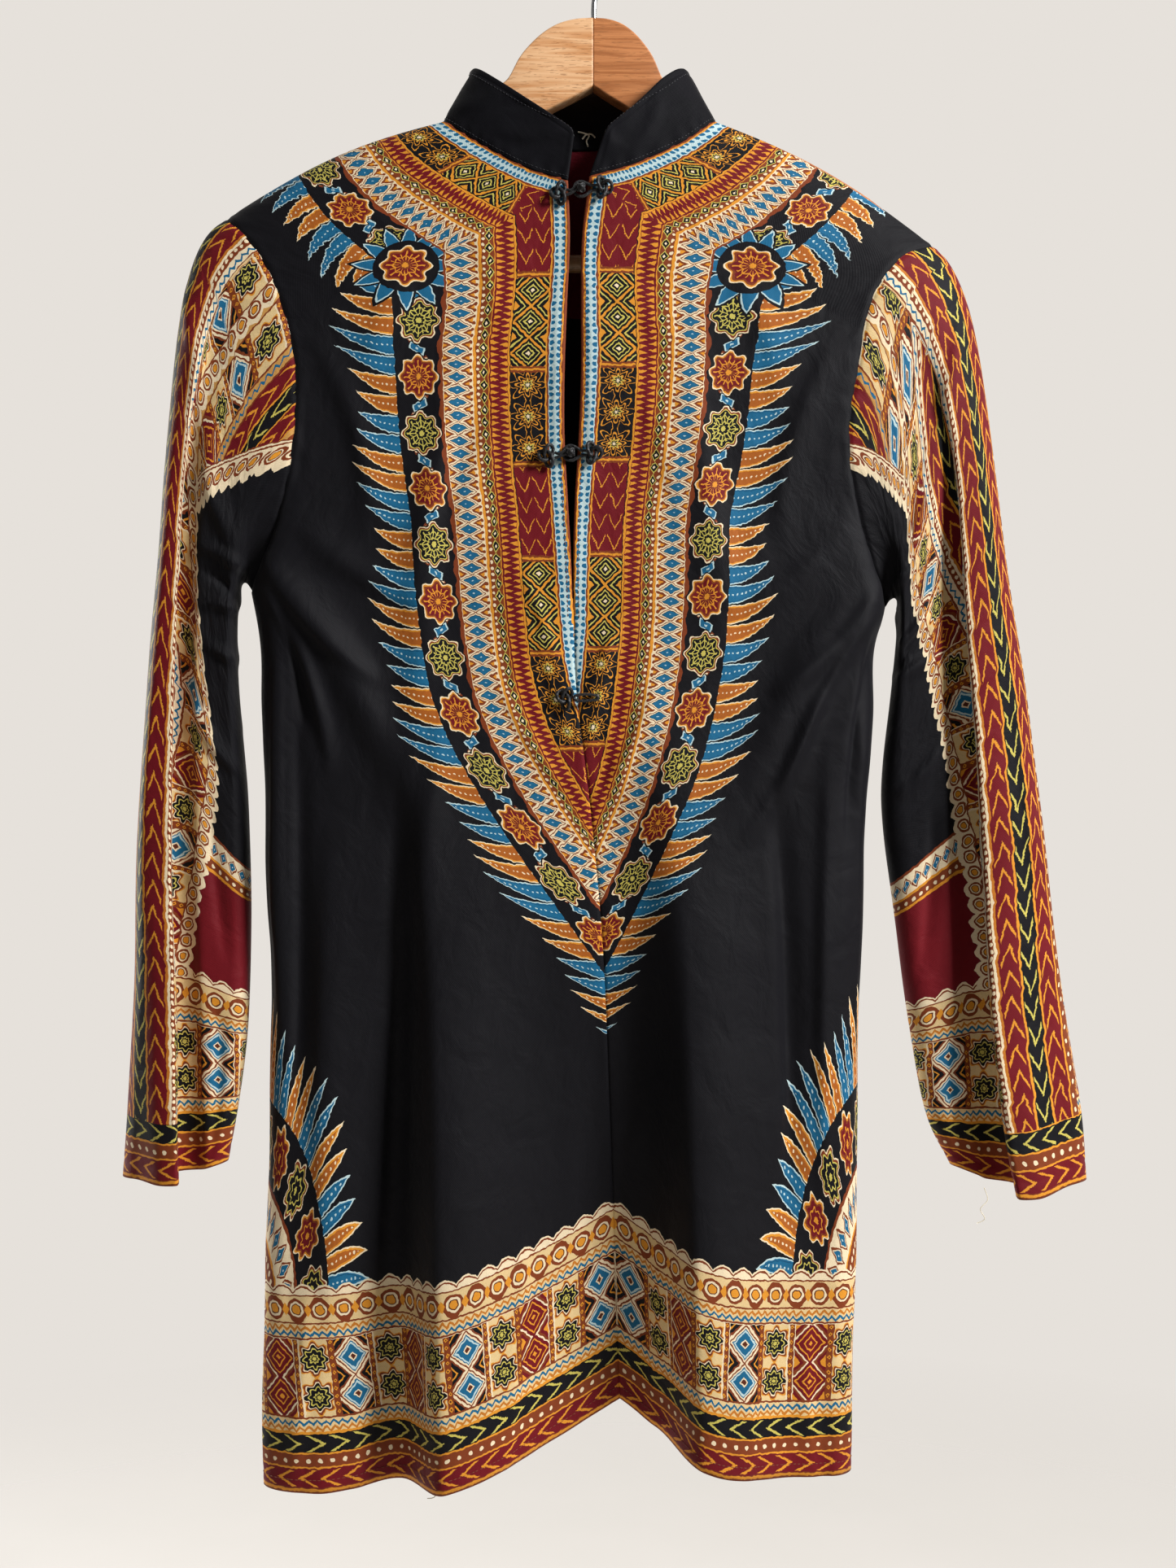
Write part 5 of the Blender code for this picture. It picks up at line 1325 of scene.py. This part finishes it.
print("collar")
collar = {
    "cloth": 2.0, "lap": 0.7, "proud": 0.25, "edge": 1.0, "columns": 96, "corner": 5.0, "stitchIn": 4.0,
    "middle": (-10, 0, -130), "tall": 41, "groove": (0.3, 0.7),
    # mm down from the top edge where rows lie close, to round it, and the even rows below them
    "topRows": (0, 0.08, 0.3, 0.65, 1.05, 1.8, 2.8, 3.4, 4.0, 4.6, 5.2), "evenFrom": 0.85, "evenRows": 26,
    # waves slant over the band or run straight up it; the fades are mm from its edges and seam
    "wave": {"size": 12, "height": 0.9, "seed": 4}, "upright": {"size": 9, "height": 0.5, "seed": 6},
    "pucker": {"height": 0.35, "pitch": 1.7, "slow": 9, "uneven": 1.6, "at": 3, "width": 4},
    "fadeEdge": 7, "fadeUpright": 20, "topStitch": 37.0, "seamStitch": 2.6,
    # creases: length along the band and height above its seam at both ends, bend, width, height
    "creases": (
        (6, 34, 52, 12, 3, 6, 1.3), (30, 40, 62, 20, -3, 5, -1.1), (58, 36, 96, 6, 4, 7, 1.4),
        (90, 40, 118, 14, -2, 6, -1.0), (20, 4, 70, 2, 2, 4, 0.8), (140, 38, 168, 8, 3, 8, 1.2),
        (190, 36, 232, 10, -4, 8, 1.2), (262, 38, 246, 8, 3, 8, 1.1), (300, 36, 330, 8, 3, 7, 1.2),
        (352, 40, 330, 10, -3, 6, 1.3), (388, 38, 352, 14, 4, 6, -1.2), (402, 36, 376, 6, -3, 6, 1.4),
        (430, 38, 398, 14, 3, 5, -1.0), (440, 30, 408, 6, 2, 5, 1.1)),
    "top": (
        (0, -84.7, -102.5, 64.7, -102.5, 0, 74.7, 0, -102.5),
        (1, -81.5, -104, 61.5, -104, -8, 72, 7, -102.5),
        (2, -75, -109, 55.5, -108, -15, 66, 12, -103),
        (3, -63, -118, 46, -116, -20, 54, 15.5, -105),
        (4, -48, -129, 35, -128, -24, 37, 18, -107.5),
        (5, -31, -141, 24, -139, -27, 18, 20, -109),
        (6, -13, -154, 8.5, -152, -29, 0, 20.5, -110)),
}


def sampled(at, far, line):
    # the points or vectors of a line at other places along it
    return np.stack([np.interp(at, far, line[:, i]) for i in range(3)], axis=-1)


def bandEdge(rows, count):
    # one edge of the collar: left front, round the back, right front, in even steps
    source = table(tunic["centreColumns"], rows)
    at = np.linspace(0, tunic["cornerRow"], 200)
    parts = []
    for part in ("left", "backLeft", "backRight", "right"):
        if part.startswith("back"):
            sign = -1 if part == "backLeft" else 1
            x = tunic["middle"] + sign * column(source, "backX", at)
            y, z = column(source, "backY", at), column(source, "backZ", at)
        else:
            x = column(source, part + "X", at)
            y, z = column(source, "frontY", at), column(source, part + "Z", at)
        edge = np.stack([x, y, z], axis=-1)
        parts.append(edge[::-1] if part in ("left", "backRight") else edge)
    line = np.concatenate([parts[0], parts[1][1:], parts[2][1:], parts[3][1:]])
    marks = np.concatenate([np.linspace(k, k + 1, len(at))[(k > 0):] for k in range(4)])
    # columns gather towards both ends of the band
    grow = 1 - 0.9 * np.exp(-np.linspace(0, 9, count // 8))
    ends = np.cumsum(grow) / np.sum(grow) * 0.1
    share = np.concatenate([[0], ends, np.linspace(0.1, 3.9, 3 * count)[1:-1], 4 - ends[::-1], [4]])
    return sampled(share, marks, line)


def makeCollar():
    # a band of two layers, straight from its seam to its top edge, with rounded edges, puckers
    # above the seam, slow waves round it and a stitched groove inside its edges. Returns what
    # its stitches need: points and normals of its outer face, and their heights
    neck = [record for record in tunic["centre"] if record[0] <= tunic["cornerRow"]]
    bottom, top = bandEdge(neck, collar["columns"]), bandEdge(collar["top"], collar["columns"])
    tall = np.linalg.norm(top - bottom, axis=-1)
    rise = unit(top - bottom)
    bottom = bottom - rise * collar["lap"]      # the band holds the panels' edges
    along = runAcross(top[None], 1)[0]
    fromEnd = np.minimum(along, along[-1] - along)
    drop = collar["corner"] * (1 - quarterRoll(fromEnd / collar["corner"]))
    top, tall = top - rise * drop[:, None], tall - drop
    close = 1 - np.array(collar["topRows"]) / collar["tall"]
    shares = np.concatenate([close, np.linspace(collar["evenFrom"], 0, collar["evenRows"])])[::-1, None]
    points = bottom[None] + (top - bottom)[None] * shares[..., None]
    normals = pointed(unit(gridNormals(points) * (1, 1, 0)), points - np.array(collar["middle"]))
    up, inward = shares * tall, np.minimum((1 - shares) * tall, fromEnd)
    half = 0.5 * collar["cloth"] * np.sqrt(np.clip(quarterRoll(inward / collar["edge"]) ** 2, 0.02, 1))
    run = np.broadcast_to(along, up.shape)
    slant, upright, (groove, width) = collar["wave"], collar["upright"], collar["groove"]
    push = slant["height"] * ripple(run, up, slant["size"], slant["seed"])
    push = push + creaseHeight(collar["creases"], run, up)
    push = push * smooth(inward / collar["fadeEdge"]) * smooth(up / collar["fadeEdge"])
    straight = upright["height"] * ripple(run, 0 * up, upright["size"], upright["seed"])
    push = push + straight * smooth(up / collar["fadeUpright"]) + puckers(run, up, collar["pucker"])
    push = push - groove * bell(inward - collar["stitchIn"], width)
    middle = points + normals * (push + collar["proud"] - 0.5 * collar["cloth"])[..., None]
    outer = middle + normals * half[..., None]
    quads = gridQuads(gridIndex(outer))
    layers = {"cloth": np.stack([run, up, 0 * up + ornament["nowhere"]], axis=-1).reshape(-1, 3)}
    piece = makeWall("collarBand", outer.reshape(-1, 3), normals.reshape(-1, 3), 2 * half.ravel(), quads,
                     [collarCotton], np.zeros(len(quads)), layers, 0)
    attach(piece, "collar")
    return outer, normals, up


def levelLine(points, level, value):
    # the line across a grid, one place in each column, where a falling length has the value
    places = []
    for k in range(points.shape[1]):
        order = np.argsort(level[:, k])
        places.append([np.interp(value, level[order, k], points[order, k, i]) for i in range(3)])
    return np.array(places)


def makeStitches(name, rows, material, step=3.2, length=2.3):
    # short rounded threads along each line, half sunk in the cloth and a little uneven
    draw = np.random.default_rng(12)
    thick, sides = needle["thick"], []
    runs, turns = np.linspace(-1, 1, 5), np.linspace(0, 2 * np.pi, 6, endpoint=False)
    radius = thick * np.sqrt(1.03 - runs ** 2)[:, None]
    height = thick * (0.75 - 0.9 * runs ** 2)[:, None]
    for line, outward in rows:
        far = runAcross(line[None], 1)[0]
        at = np.arange(step / 2, far[-1] - step / 2, step)
        at = at + draw.uniform(-0.12, 0.12, len(at)) * step
        spot = sampled(at, far, line)
        run = unit(sampled(at + 0.5, far, line) - spot)
        lift = sampled(at, far, outward)
        lift = unit(lift - run * np.sum(run * lift, axis=-1, keepdims=True))
        along, up, aside = (axis[:, None, None] for axis in (run, lift, np.cross(run, lift)))
        sides.append(spot[:, None, None] + along * (runs * length / 2)[:, None, None]
                     + up * (height + radius * np.sin(turns))[..., None]
                     + aside * (radius * np.cos(turns))[..., None])
    points = np.concatenate(sides)
    index = np.arange(points[..., 0].size).reshape(points.shape[:3])
    after = np.roll(index, -1, axis=2)
    walls = np.stack([index[:, :-1], after[:, :-1], after[:, 1:], index[:, 1:]], axis=-1).reshape(-1, 4)
    ends = [np.stack([ring[:, a] for a in order], axis=-1) for ring, order in
            ((index[:, 0], (0, 5, 4, 1)), (index[:, 0], (1, 4, 3, 2)),
             (index[:, -1], (0, 1, 4, 5)), (index[:, -1], (1, 2, 3, 4)))]
    quads = np.concatenate([walls, *ends])[:, ::-1]
    attach(makeMesh(name, points.reshape(-1, 3), quads, [material]))


def makeTube(name, path, radius, sides, material, closed=False, strands=0, pitch=1.0):
    # a round tube along a path; strands plait it: ridges wind both ways round it and cross
    path = np.asarray(path, float)
    run = np.roll(path, -1, axis=0) - np.roll(path, 1, axis=0) if closed else np.gradient(path, axis=0)
    run = unit(run)
    first = unit(np.cross(run, (0, 1.0, 0.001)))
    second = np.cross(run, first)
    angle = 2 * np.pi * np.arange(sides) / sides
    reach = np.broadcast_to(np.asarray(radius, float), (len(path),))[:, None] * np.ones(sides)
    if strands:
        lay = 2 * np.pi * runAcross(path[None], 1)[0][:, None] / pitch
        weave = np.maximum(np.cos(strands * angle + lay), np.cos(strands * angle - lay))
        reach = reach * (0.84 + 0.16 * weave)
    points = (path[:, None] + (reach * np.cos(angle))[..., None] * first[:, None]
              + (reach * np.sin(angle))[..., None] * second[:, None])
    index = gridIndex(points)
    if closed:
        quads = gridQuads(np.concatenate([index, index[:1]]), True)
    else:
        quads = np.concatenate([gridQuads(index, True), endCaps(len(path), sides)])
    # faces point outwards when a step round and a step along turn towards the outside
    a, b, c = points[0, 0], points[0, 1], points[1, 0]
    if np.cross(b - a, c - a) @ (a - path[0]) > 0:
        quads = quads[:, ::-1]
    return makeMesh(name, points.reshape(-1, 3), quads, [material])


collarOuter, collarNormals, collarUp = makeCollar()

print("frogs")
frogs = {
    "size": 6.4, "cloverCord": 0.75, "cord": 1.15, "knot": 3.6, "stemHalf": 1.6, "gap": 0.3, "ballSet": 0.6,
    "columns": ("name", "leftX", "leftZ", "knotX", "knotZ", "rightX", "rightZ"),
    "fastened": (
        ("frog_1", -23.5, -197, -8.6, -194, 6.5, -193),
        ("frog_2", -31.5, -374, -15.6, -372, -0.5, -372)),
    "bar": {"cloverX": -19.5, "endX": 1.0, "z": -537, "turn": 0.2},
    "strands": 3, "pitch": 3.4, "plump": 1.75, "stem": 1.05, "slack": 0.95, "tall": 1.4, "turn": 0.5,
    # a ball knot: its core's radius, and the cord that goes round it in turns that sway to both
    # sides and pass over and under each other
    "core": 2.7, "ball": 2.72, "ballCord": 0.72, "ballTurns": 3, "ballSways": 4, "ballSway": 0.9,
    "ballOver": 0.34,
    # degrees from which a loop leaves its knot, and how far its ends and the stem's reach in
    "loopFrom": 56, "loopEnd": 1.5, "tucked": 0.6,
}
frogs["scale"] = (frogs["size"] - frogs["cloverCord"]) / 3


def depthOf(node):
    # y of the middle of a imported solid
    low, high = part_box(node)
    return (low[1] + high[1]) / 2 / mm


def makeCord(name, node, path, radius, closed=False, sides=12):
    piece = makeTube(name, path, radius, sides, braidedCord, closed, frogs["strands"], frogs["pitch"])
    attach(piece, node)


def makeClover(name, node, x, z, turn):
    # three loops of one cord, taller than wide: one harmonic turns it round, the second folds it
    t = np.linspace(0, 2 * np.pi, 170, endpoint=False)
    scale, depth = frogs["scale"], depthOf(node)
    u, v = scale * (np.sin(t) + 2 * np.sin(2 * t)), scale * (np.cos(t) - 2 * np.cos(2 * t))
    c, s = math.cos(turn), math.sin(turn)
    y, high = depth + scale * np.sin(3 * t), frogs["tall"] * (s * u + c * v)
    path = np.stack([x + c * u - s * v, y, z + high], axis=-1)
    makeCord(name, node, path, frogs["cloverCord"] * frogs["plump"], closed=True)


def smoothPath(points, count):
    # a cubic curve through the points, in even steps
    points = np.asarray(points, float)
    far = runAcross(points[None], 1)[0]
    at = np.linspace(0, far[-1], count)
    return np.stack([hermite(far, points[:, i], at) for i in range(3)], axis=-1)


def arc(x, depth, z, radius, angles):
    # points of a circle that faces the front, at angles in degrees
    return [(x + radius * math.cos(a), depth, z + radius * math.sin(a)) for a in np.radians(angles)]


def makeStem(f, label, depth):
    # two strands side by side from the left clover to the knot
    start = f["leftX"] + frogs["size"] - 2 * frogs["tucked"]
    end = np.array([f["knotX"] - frogs["knot"] + frogs["tucked"], depth - 0.4, f["knotZ"]])
    for strand, side in (("StemUpper", 1), ("StemLower", -1)):
        path = [(start, depth + frogs["tucked"], f["leftZ"] + side * 1.8),
                (start + 2.2, depth, f["leftZ"] + side * 1.1), end + (0, 0, side * frogs["stem"])]
        makeCord(label + strand, None, smoothPath(path, 30), frogs["stem"])


def makeKnot(f, label, depth):
    # the ball: a round core, and one cord that winds over it as a Turk's head
    middle = np.array([f["knotX"], depth - frogs["ballSet"], f["knotZ"]])
    turns = np.linspace(-0.97, 0.97, 14) * 0.5 * np.pi
    core = [middle + (frogs["core"] * math.sin(a), 0, 0) for a in turns]
    radii = [max(frogs["core"] * math.cos(a), 0.1) for a in turns]
    attach(makeTube(label + "KnotCore", core, radii, 16, braidedCord))
    t = np.linspace(0, 2 * np.pi, 220, endpoint=False)
    turn, rise = frogs["ballTurns"] * t, frogs["ballSway"] * np.sin(frogs["ballSways"] * t)
    reach = frogs["ball"] + frogs["ballOver"] * np.cos(frogs["ballTurns"] * frogs["ballSways"] * t)
    way = [np.sin(rise), np.cos(rise) * np.cos(turn), np.cos(rise) * np.sin(turn)]
    ball = middle + reach[:, None] * np.stack(way, axis=-1)
    makeCord(label + "Knot", f["name"] + "_knot", ball, frogs["ballCord"], closed=True, sides=10)


def makeLoop(f, label, depth):
    # from the right clover round the knot and back
    right, half = f["rightX"] - frogs["size"] + frogs["tucked"], frogs["stemHalf"]
    end, away = frogs["loopEnd"], frogs["knot"] + frogs["cord"] + frogs["gap"]
    upper, lower = (
        [(right + end, depth - 0.5, z), (right - end, depth, z)]
        for z in (f["rightZ"] + half, f["rightZ"] - half))
    turns = np.linspace(frogs["loopFrom"], 360 - frogs["loopFrom"], 13)
    loop = upper + arc(f["knotX"], depth, f["knotZ"], away, turns) + lower[::-1]
    makeCord(label + "Loop", f["name"] + "_loop", smoothPath(loop, 90), frogs["cord"] * frogs["slack"])


def makeFrog(record):
    f = dict(zip(frogs["columns"], record))
    name, label = f["name"], "frog" + f["name"][-1]
    makeClover(label + "CloverLeft", name + "_left", f["leftX"], f["leftZ"], frogs["turn"])
    makeClover(label + "CloverRight", name + "_right", f["rightX"], f["rightZ"], -frogs["turn"])
    base = min(depthOf(name + "_left"), depthOf(name + "_right"))
    makeStem(f, label, base - frogs["stemHalf"])
    makeKnot(f, label, base - frogs["stemHalf"])
    makeLoop(f, label, base + frogs["cloverCord"] + frogs["scale"] - frogs["cord"])


def makeBarFrog():
    # the lowest frog: a clover, and a flat closed loop across the end of the slit
    bar = frogs["bar"]
    makeClover("frog3Clover", "frog_3_left", bar["cloverX"], bar["z"], bar["turn"])
    depth = depthOf("frog_3_left")
    start = bar["cloverX"] + frogs["size"] + frogs["gap"] + frogs["cord"]
    right = arc(bar["endX"], depth, bar["z"], frogs["stemHalf"], np.linspace(-90, 90, 7))
    left = arc(start, depth, bar["z"], frogs["stemHalf"], np.linspace(90, 270, 7))
    path = smoothPath(right + left + right[:1], 110)[:-1]
    makeCord("frog3Bar", "frog_3_loop", path, frogs["cord"] * frogs["slack"], closed=True)


for record in frogs["fastened"]:
    makeFrog(record)
makeBarFrog()

print("hanger")
hanger = {
    "mitre": -0.5, "join": 0.01, "bevel": 0.45, "reach": 214.0, "boot": 24.0, "bootStep": 0.6,
    "bootBottom": -249.0, "depth": 31.0,
    "half": 7.0, "ease": 0.1, "seat": 0.6, "cloth": 1.2, "neck": 103.5, "round": 4.2, "steps": 260,
    # mm past the neck to where the hump ends, mm over which an arm's tip rounds off, how much of
    # its height and width that takes, and its corners' powers: out of square, and how they close
    "past": 8, "tip": 5, "tipTall": 0.12, "tipWide": 0.45, "square": 0.32, "close": 0.8,
    "around": 40, "bootSteps": 26,
    "humpColumns": ("out", "top", "under"),
    "hump": (
        (0, -68, -116), (13, -69, -123), (27, -73.5, -130), (41, -84, -137.5), (51, -96, -143),
        (58, -109, -146.5), (67, -116, -151.5), (82, -131, -159.5)),
    "barRadius": 6.0, "barZ": -236.0, "barHalf": 189.3,
    "wire": 2.0, "circle": 22.0,
    # the hook's wire from the wood up to the circle, and the degrees that the circle spans
    "stem": ((0, 0, -67.7), (0, 0, -60), (0.8, 0, -53), (4.2, 0, -46.5), (9.4, 0, -41)),
    "bend": (-48, 205),
    # lean in degrees, paler and darker wood; the left arm's paler tones are painted light and the right
    # arm's darker tones painted shade, for arms facing towards and away from the light
    "grain": {"left": (-24.0, "#e9bd90", "#c88c58"), "right": (14.0, "#c98450", "#a05f30"),
              "bar": (0.0, "#e0b285", "#c08551")},
}


def makeArm(hand):
    # rounded sections from the mitre to the end that takes the bar; each is a rectangle whose
    # corners are quarter circles, from a superellipse
    sign = -1 if hand == "left" else 1
    side = table(tunic["sideColumns"], tunic[hand + "Side"])
    centre = table(tunic["centreColumns"], tunic["centre"])
    inX, inZ = centre[hand + "X"][0], centre[hand + "Z"][0]
    outX, outZ = side["frontX"][0], side["z"][0]
    neckOut = abs(inX - hanger["mitre"])
    boot = hanger["reach"] - hanger["boot"]
    hump = table(hanger["humpColumns"], hanger["hump"])
    edge = np.linspace(hanger["join"], hanger["join"] + hanger["bevel"], 5)
    out = np.concatenate([edge[:-1], np.linspace(edge[-1], boot - hanger["bootStep"], hanger["steps"]),
                          np.linspace(boot, hanger["reach"], hanger["bootSteps"])])
    place = (hanger["mitre"] + sign * out - outX) / (inX - outX)
    ridge = outZ + (inZ - outZ) * place + tunic["shoulderBow"] * np.sin(np.pi * np.clip(place, 0, 1))
    armTop = ridge - hanger["cloth"] - hanger["seat"]
    humpEnd = neckOut + hanger["past"]
    at = np.concatenate([hump["out"] * neckOut / hanger["neck"], [humpEnd]])
    joint = np.interp(humpEnd, np.sort(out), armTop[np.argsort(out)])
    top, under = (
        np.where(out < humpEnd, hermite(at, np.append(hump[name], joint - deep), out), armTop - deep)
        for name, deep in (("top", 0), ("under", hanger["depth"])))
    under = np.where(out >= boot, hanger["bootBottom"], under)
    top = top - hanger["ease"] * np.clip(out - boot, 0, None)
    beyond = np.clip((out - hanger["reach"] + hanger["tip"]) / hanger["tip"], 0, 1)
    closing = 1 - np.sqrt(np.clip(1 - beyond ** 2, 0.02, 1))
    bevel = hanger["bevel"] * (1 - smooth((out - hanger["join"]) / hanger["bevel"]))
    tall = (top - under) / 2 * (1 - hanger["tipTall"] * closing) - bevel
    wide = hanger["half"] * (1 - hanger["tipWide"] * closing) - bevel
    angle = 2 * np.pi * (np.arange(hanger["around"]) + 0.5) / hanger["around"]
    boxY, boxZ = (np.sign(part) * np.abs(part) ** hanger["square"]
                  for part in (np.cos(angle), np.sin(angle)))
    # the curved part of each corner keeps its size, so tall sections stay flat between them
    curved = hanger["round"] * (1 - np.abs(boxZ)) ** hanger["close"]
    z = ((top + under) / 2)[:, None] + np.sign(boxZ) * (tall[:, None] - curved)
    x = np.broadcast_to((hanger["mitre"] + sign * out)[:, None], z.shape)
    points = np.stack([x, wide[:, None] * boxY, z], axis=-1)
    quads = np.concatenate([gridQuads(gridIndex(points), True), endCaps(len(out), len(angle))])
    wood = beechWood("beech" + hand.capitalize(), *hanger["grain"][hand])
    piece = makeMesh("hangerArm" + hand.capitalize(), points.reshape(-1, 3),
                     quads[:, ::-1] if sign < 0 else quads, [wood])
    attach(piece, "hanger_arm_" + hand)


def makeHook():
    # a circle of wire on a stem that rises out of the wood, with a rounded end
    wire, circle = hanger["wire"], hanger["circle"]
    bend = np.radians(np.linspace(*hanger["bend"], 80))
    high = circle * np.sin(bend) - (circle - wire)
    ring = np.stack([circle * np.cos(bend), 0 * bend, high], axis=-1)
    stem = smoothPath([*hanger["stem"], ring[0]], 60)[:-1]
    angle = np.linspace(0.1, 1, 8)[:, None] * 0.5 * np.pi
    tip = ring[-1] + unit(ring[-1] - ring[-2]) * wire * np.sin(angle)
    radii = np.full(len(stem) + len(ring), wire)
    radii = np.concatenate([radii, wire * np.clip(np.cos(angle[:, 0]), 0.06, 1)])
    piece = makeTube("hangerHook", np.concatenate([stem, ring, tip]), radii, 20, steelWire())
    attach(piece, "hook")


makeArm("left")
makeArm("right")
barEnds = np.linspace(-1, 1, 60) * hanger["barHalf"] + hanger["mitre"]
barPath = np.stack([barEnds, 0 * barEnds, 0 * barEnds + hanger["barZ"]], axis=-1)
barWood = beechWood("beechBar", *hanger["grain"]["bar"])
attach(makeTube("hangerBar", barPath, hanger["barRadius"], 36, barWood), "trouser_bar")
makeHook()

print("stitches and threads")
needle = {"thick": 0.24, "hemUp": 9.0, "slitIn": 3.4, "collarStep": 2.8, "collarLength": 2.0}
hemRows, slitRows, collarRows = [], [], []
for key, half in halves.items():
    hemRows.append([levelLine(half[name], half["aboveHem"], needle["hemUp"])
                    for name in ("points", "normals")])
    if key.startswith("front"):
        across = [levelLine(half[name].transpose(1, 0, 2), half["fromCentre"].T, needle["slitIn"])
                  for name in ("points", "normals")]
        kept = (half["rows"] > tunic["cornerRow"] + 0.1) & (half["rows"] < panels["slitStitchFoot"])
        slitRows.append([line[kept] for line in across])
for up in (collar["topStitch"], collar["seamStitch"]):
    collarRows.append([levelLine(grid, collarUp, up) for grid in (collarOuter, collarNormals)])
makeStitches("hemStitches", hemRows, brownThread)
makeStitches("slitStitches", slitRows, brownThread)
makeStitches("collarStitches", collarRows, blackThread,
             needle["collarStep"], needle["collarLength"])

# loose ends; the last two are what is left of a label's stitching, inside the neck
threads = {
    "cuffThread": ((262, -33, -866), (264, -34, -874), (259, -35, -880), (262, -34, -887),
                   (257, -33, -890)),
    "hemThread": ((-108, -30, -1069), (-106, -31, -1073), (-108, -31, -1075), (-112, -31, -1075.5)),
    "labelThread": ((-11, 16.9, -138.5), (-7, 16.3, -139.6), (-3.4, 16.2, -141.5), (-5, 16.4, -145),
                    (-4, 16.9, -149)),
    "labelThreadEnd": ((-8, 16.8, -143.5), (-5.5, 16.1, -141), (-1.5, 16.2, -140.5),
                       (1, 16.9, -142.5)),
}
for label, places in threads.items():
    radius, slot = (0.55, "collar_cotton") if label.startswith("label") else (0.28, "printed_cotton")
    attach(makeTube(label, smoothPath(places, 40), radius, 8, paleThread))

print("floor and lights")
studio = {
    "floorDrop": 1650.0, "floorHalf": 6000.0, "paint": "#e6e1db", "fadeFrom": 0.7, "fadeTo": 2.1,
    "pale": 1.0, "dim": 0.15, "paleFrom": 0.7, "dimUpTo": -0.1,
    # name, place in metres, size, power; all of them aim at one point
    "lights": (("key", (2.2, -1.5, 0.95), 0.8, 160), ("fill", (-2.2, -2.0, 0.2), 2.5, 3),
               ("behind", (-2.2, 1.1, -0.2), 0.8, 50)),
    "aim": (0, 0, -0.6),
}


def floorPaint():
    # matt wall paint that thins out to nothing away from the garment, so that no edge shows
    material, pen = startMaterial("floorPaint")
    level = pen("turn", pen("place", out=3), None, None, (1.0, 1.0, 0.0))
    away = pen("SUBTRACT", pen("vector", level, operation="LENGTH", out=1), studio["fadeFrom"])
    thin = pen("DIVIDE", away, studio["fadeTo"] - studio["fadeFrom"], use_clamp=True)
    mottle = pen("noise", pen("place", out=3), Scale=6.0, Detail=3.0)
    return setShader(material, {
        "Base Color": pen("MIX", mottle, "#dedad3", studio["paint"]),
        "Alpha": pen("SUBTRACT", 1.0, thin), "Roughness": 0.9})


side, drop = studio["floorHalf"], studio["floorDrop"]
corners = [(-side, -side, -drop), (side, -side, -drop), (side, side, -drop), (-side, side, -drop)]
floor = makeMesh("floor", corners, [(0, 1, 2, 3)], [floorPaint()])
world = bpy.data.worlds.new("studio")
world.use_nodes = True
# a room that is palest on the wall's side and dimmer on the window's far side
pen = functools.partial(addNode, world.node_tree)
towardsWall = pen("SUBTRACT", pen("split", pen("place", out=3), out=1), studio["dimUpTo"])
share = pen("DIVIDE", towardsWall, studio["paleFrom"] - studio["dimUpTo"], use_clamp=True)
strength = pen("MULTIPLY_ADD", share, studio["pale"] - studio["dim"], studio["dim"])
background = world.node_tree.nodes["Background"]
background.inputs["Color"].default_value = linear(studio["paint"])
world.node_tree.links.new(strength, background.inputs["Strength"])
bpy.context.scene.world = world
bpy.context.scene.view_settings.view_transform = "Standard"

for lightName, place, size, power in studio["lights"]:
    light = bpy.data.lights.new(lightName, "AREA")
    light.size = size
    light.energy = power
    lamp = bpy.data.objects.new(lightName, light)
    lamp.location = place
    aim = unit(np.array(studio["aim"]) - np.array(place))
    lamp.rotation_euler = (math.acos(-aim[2]), 0, math.atan2(aim[1], aim[0]) - math.pi / 2)
    bpy.context.scene.collection.objects.link(lamp)
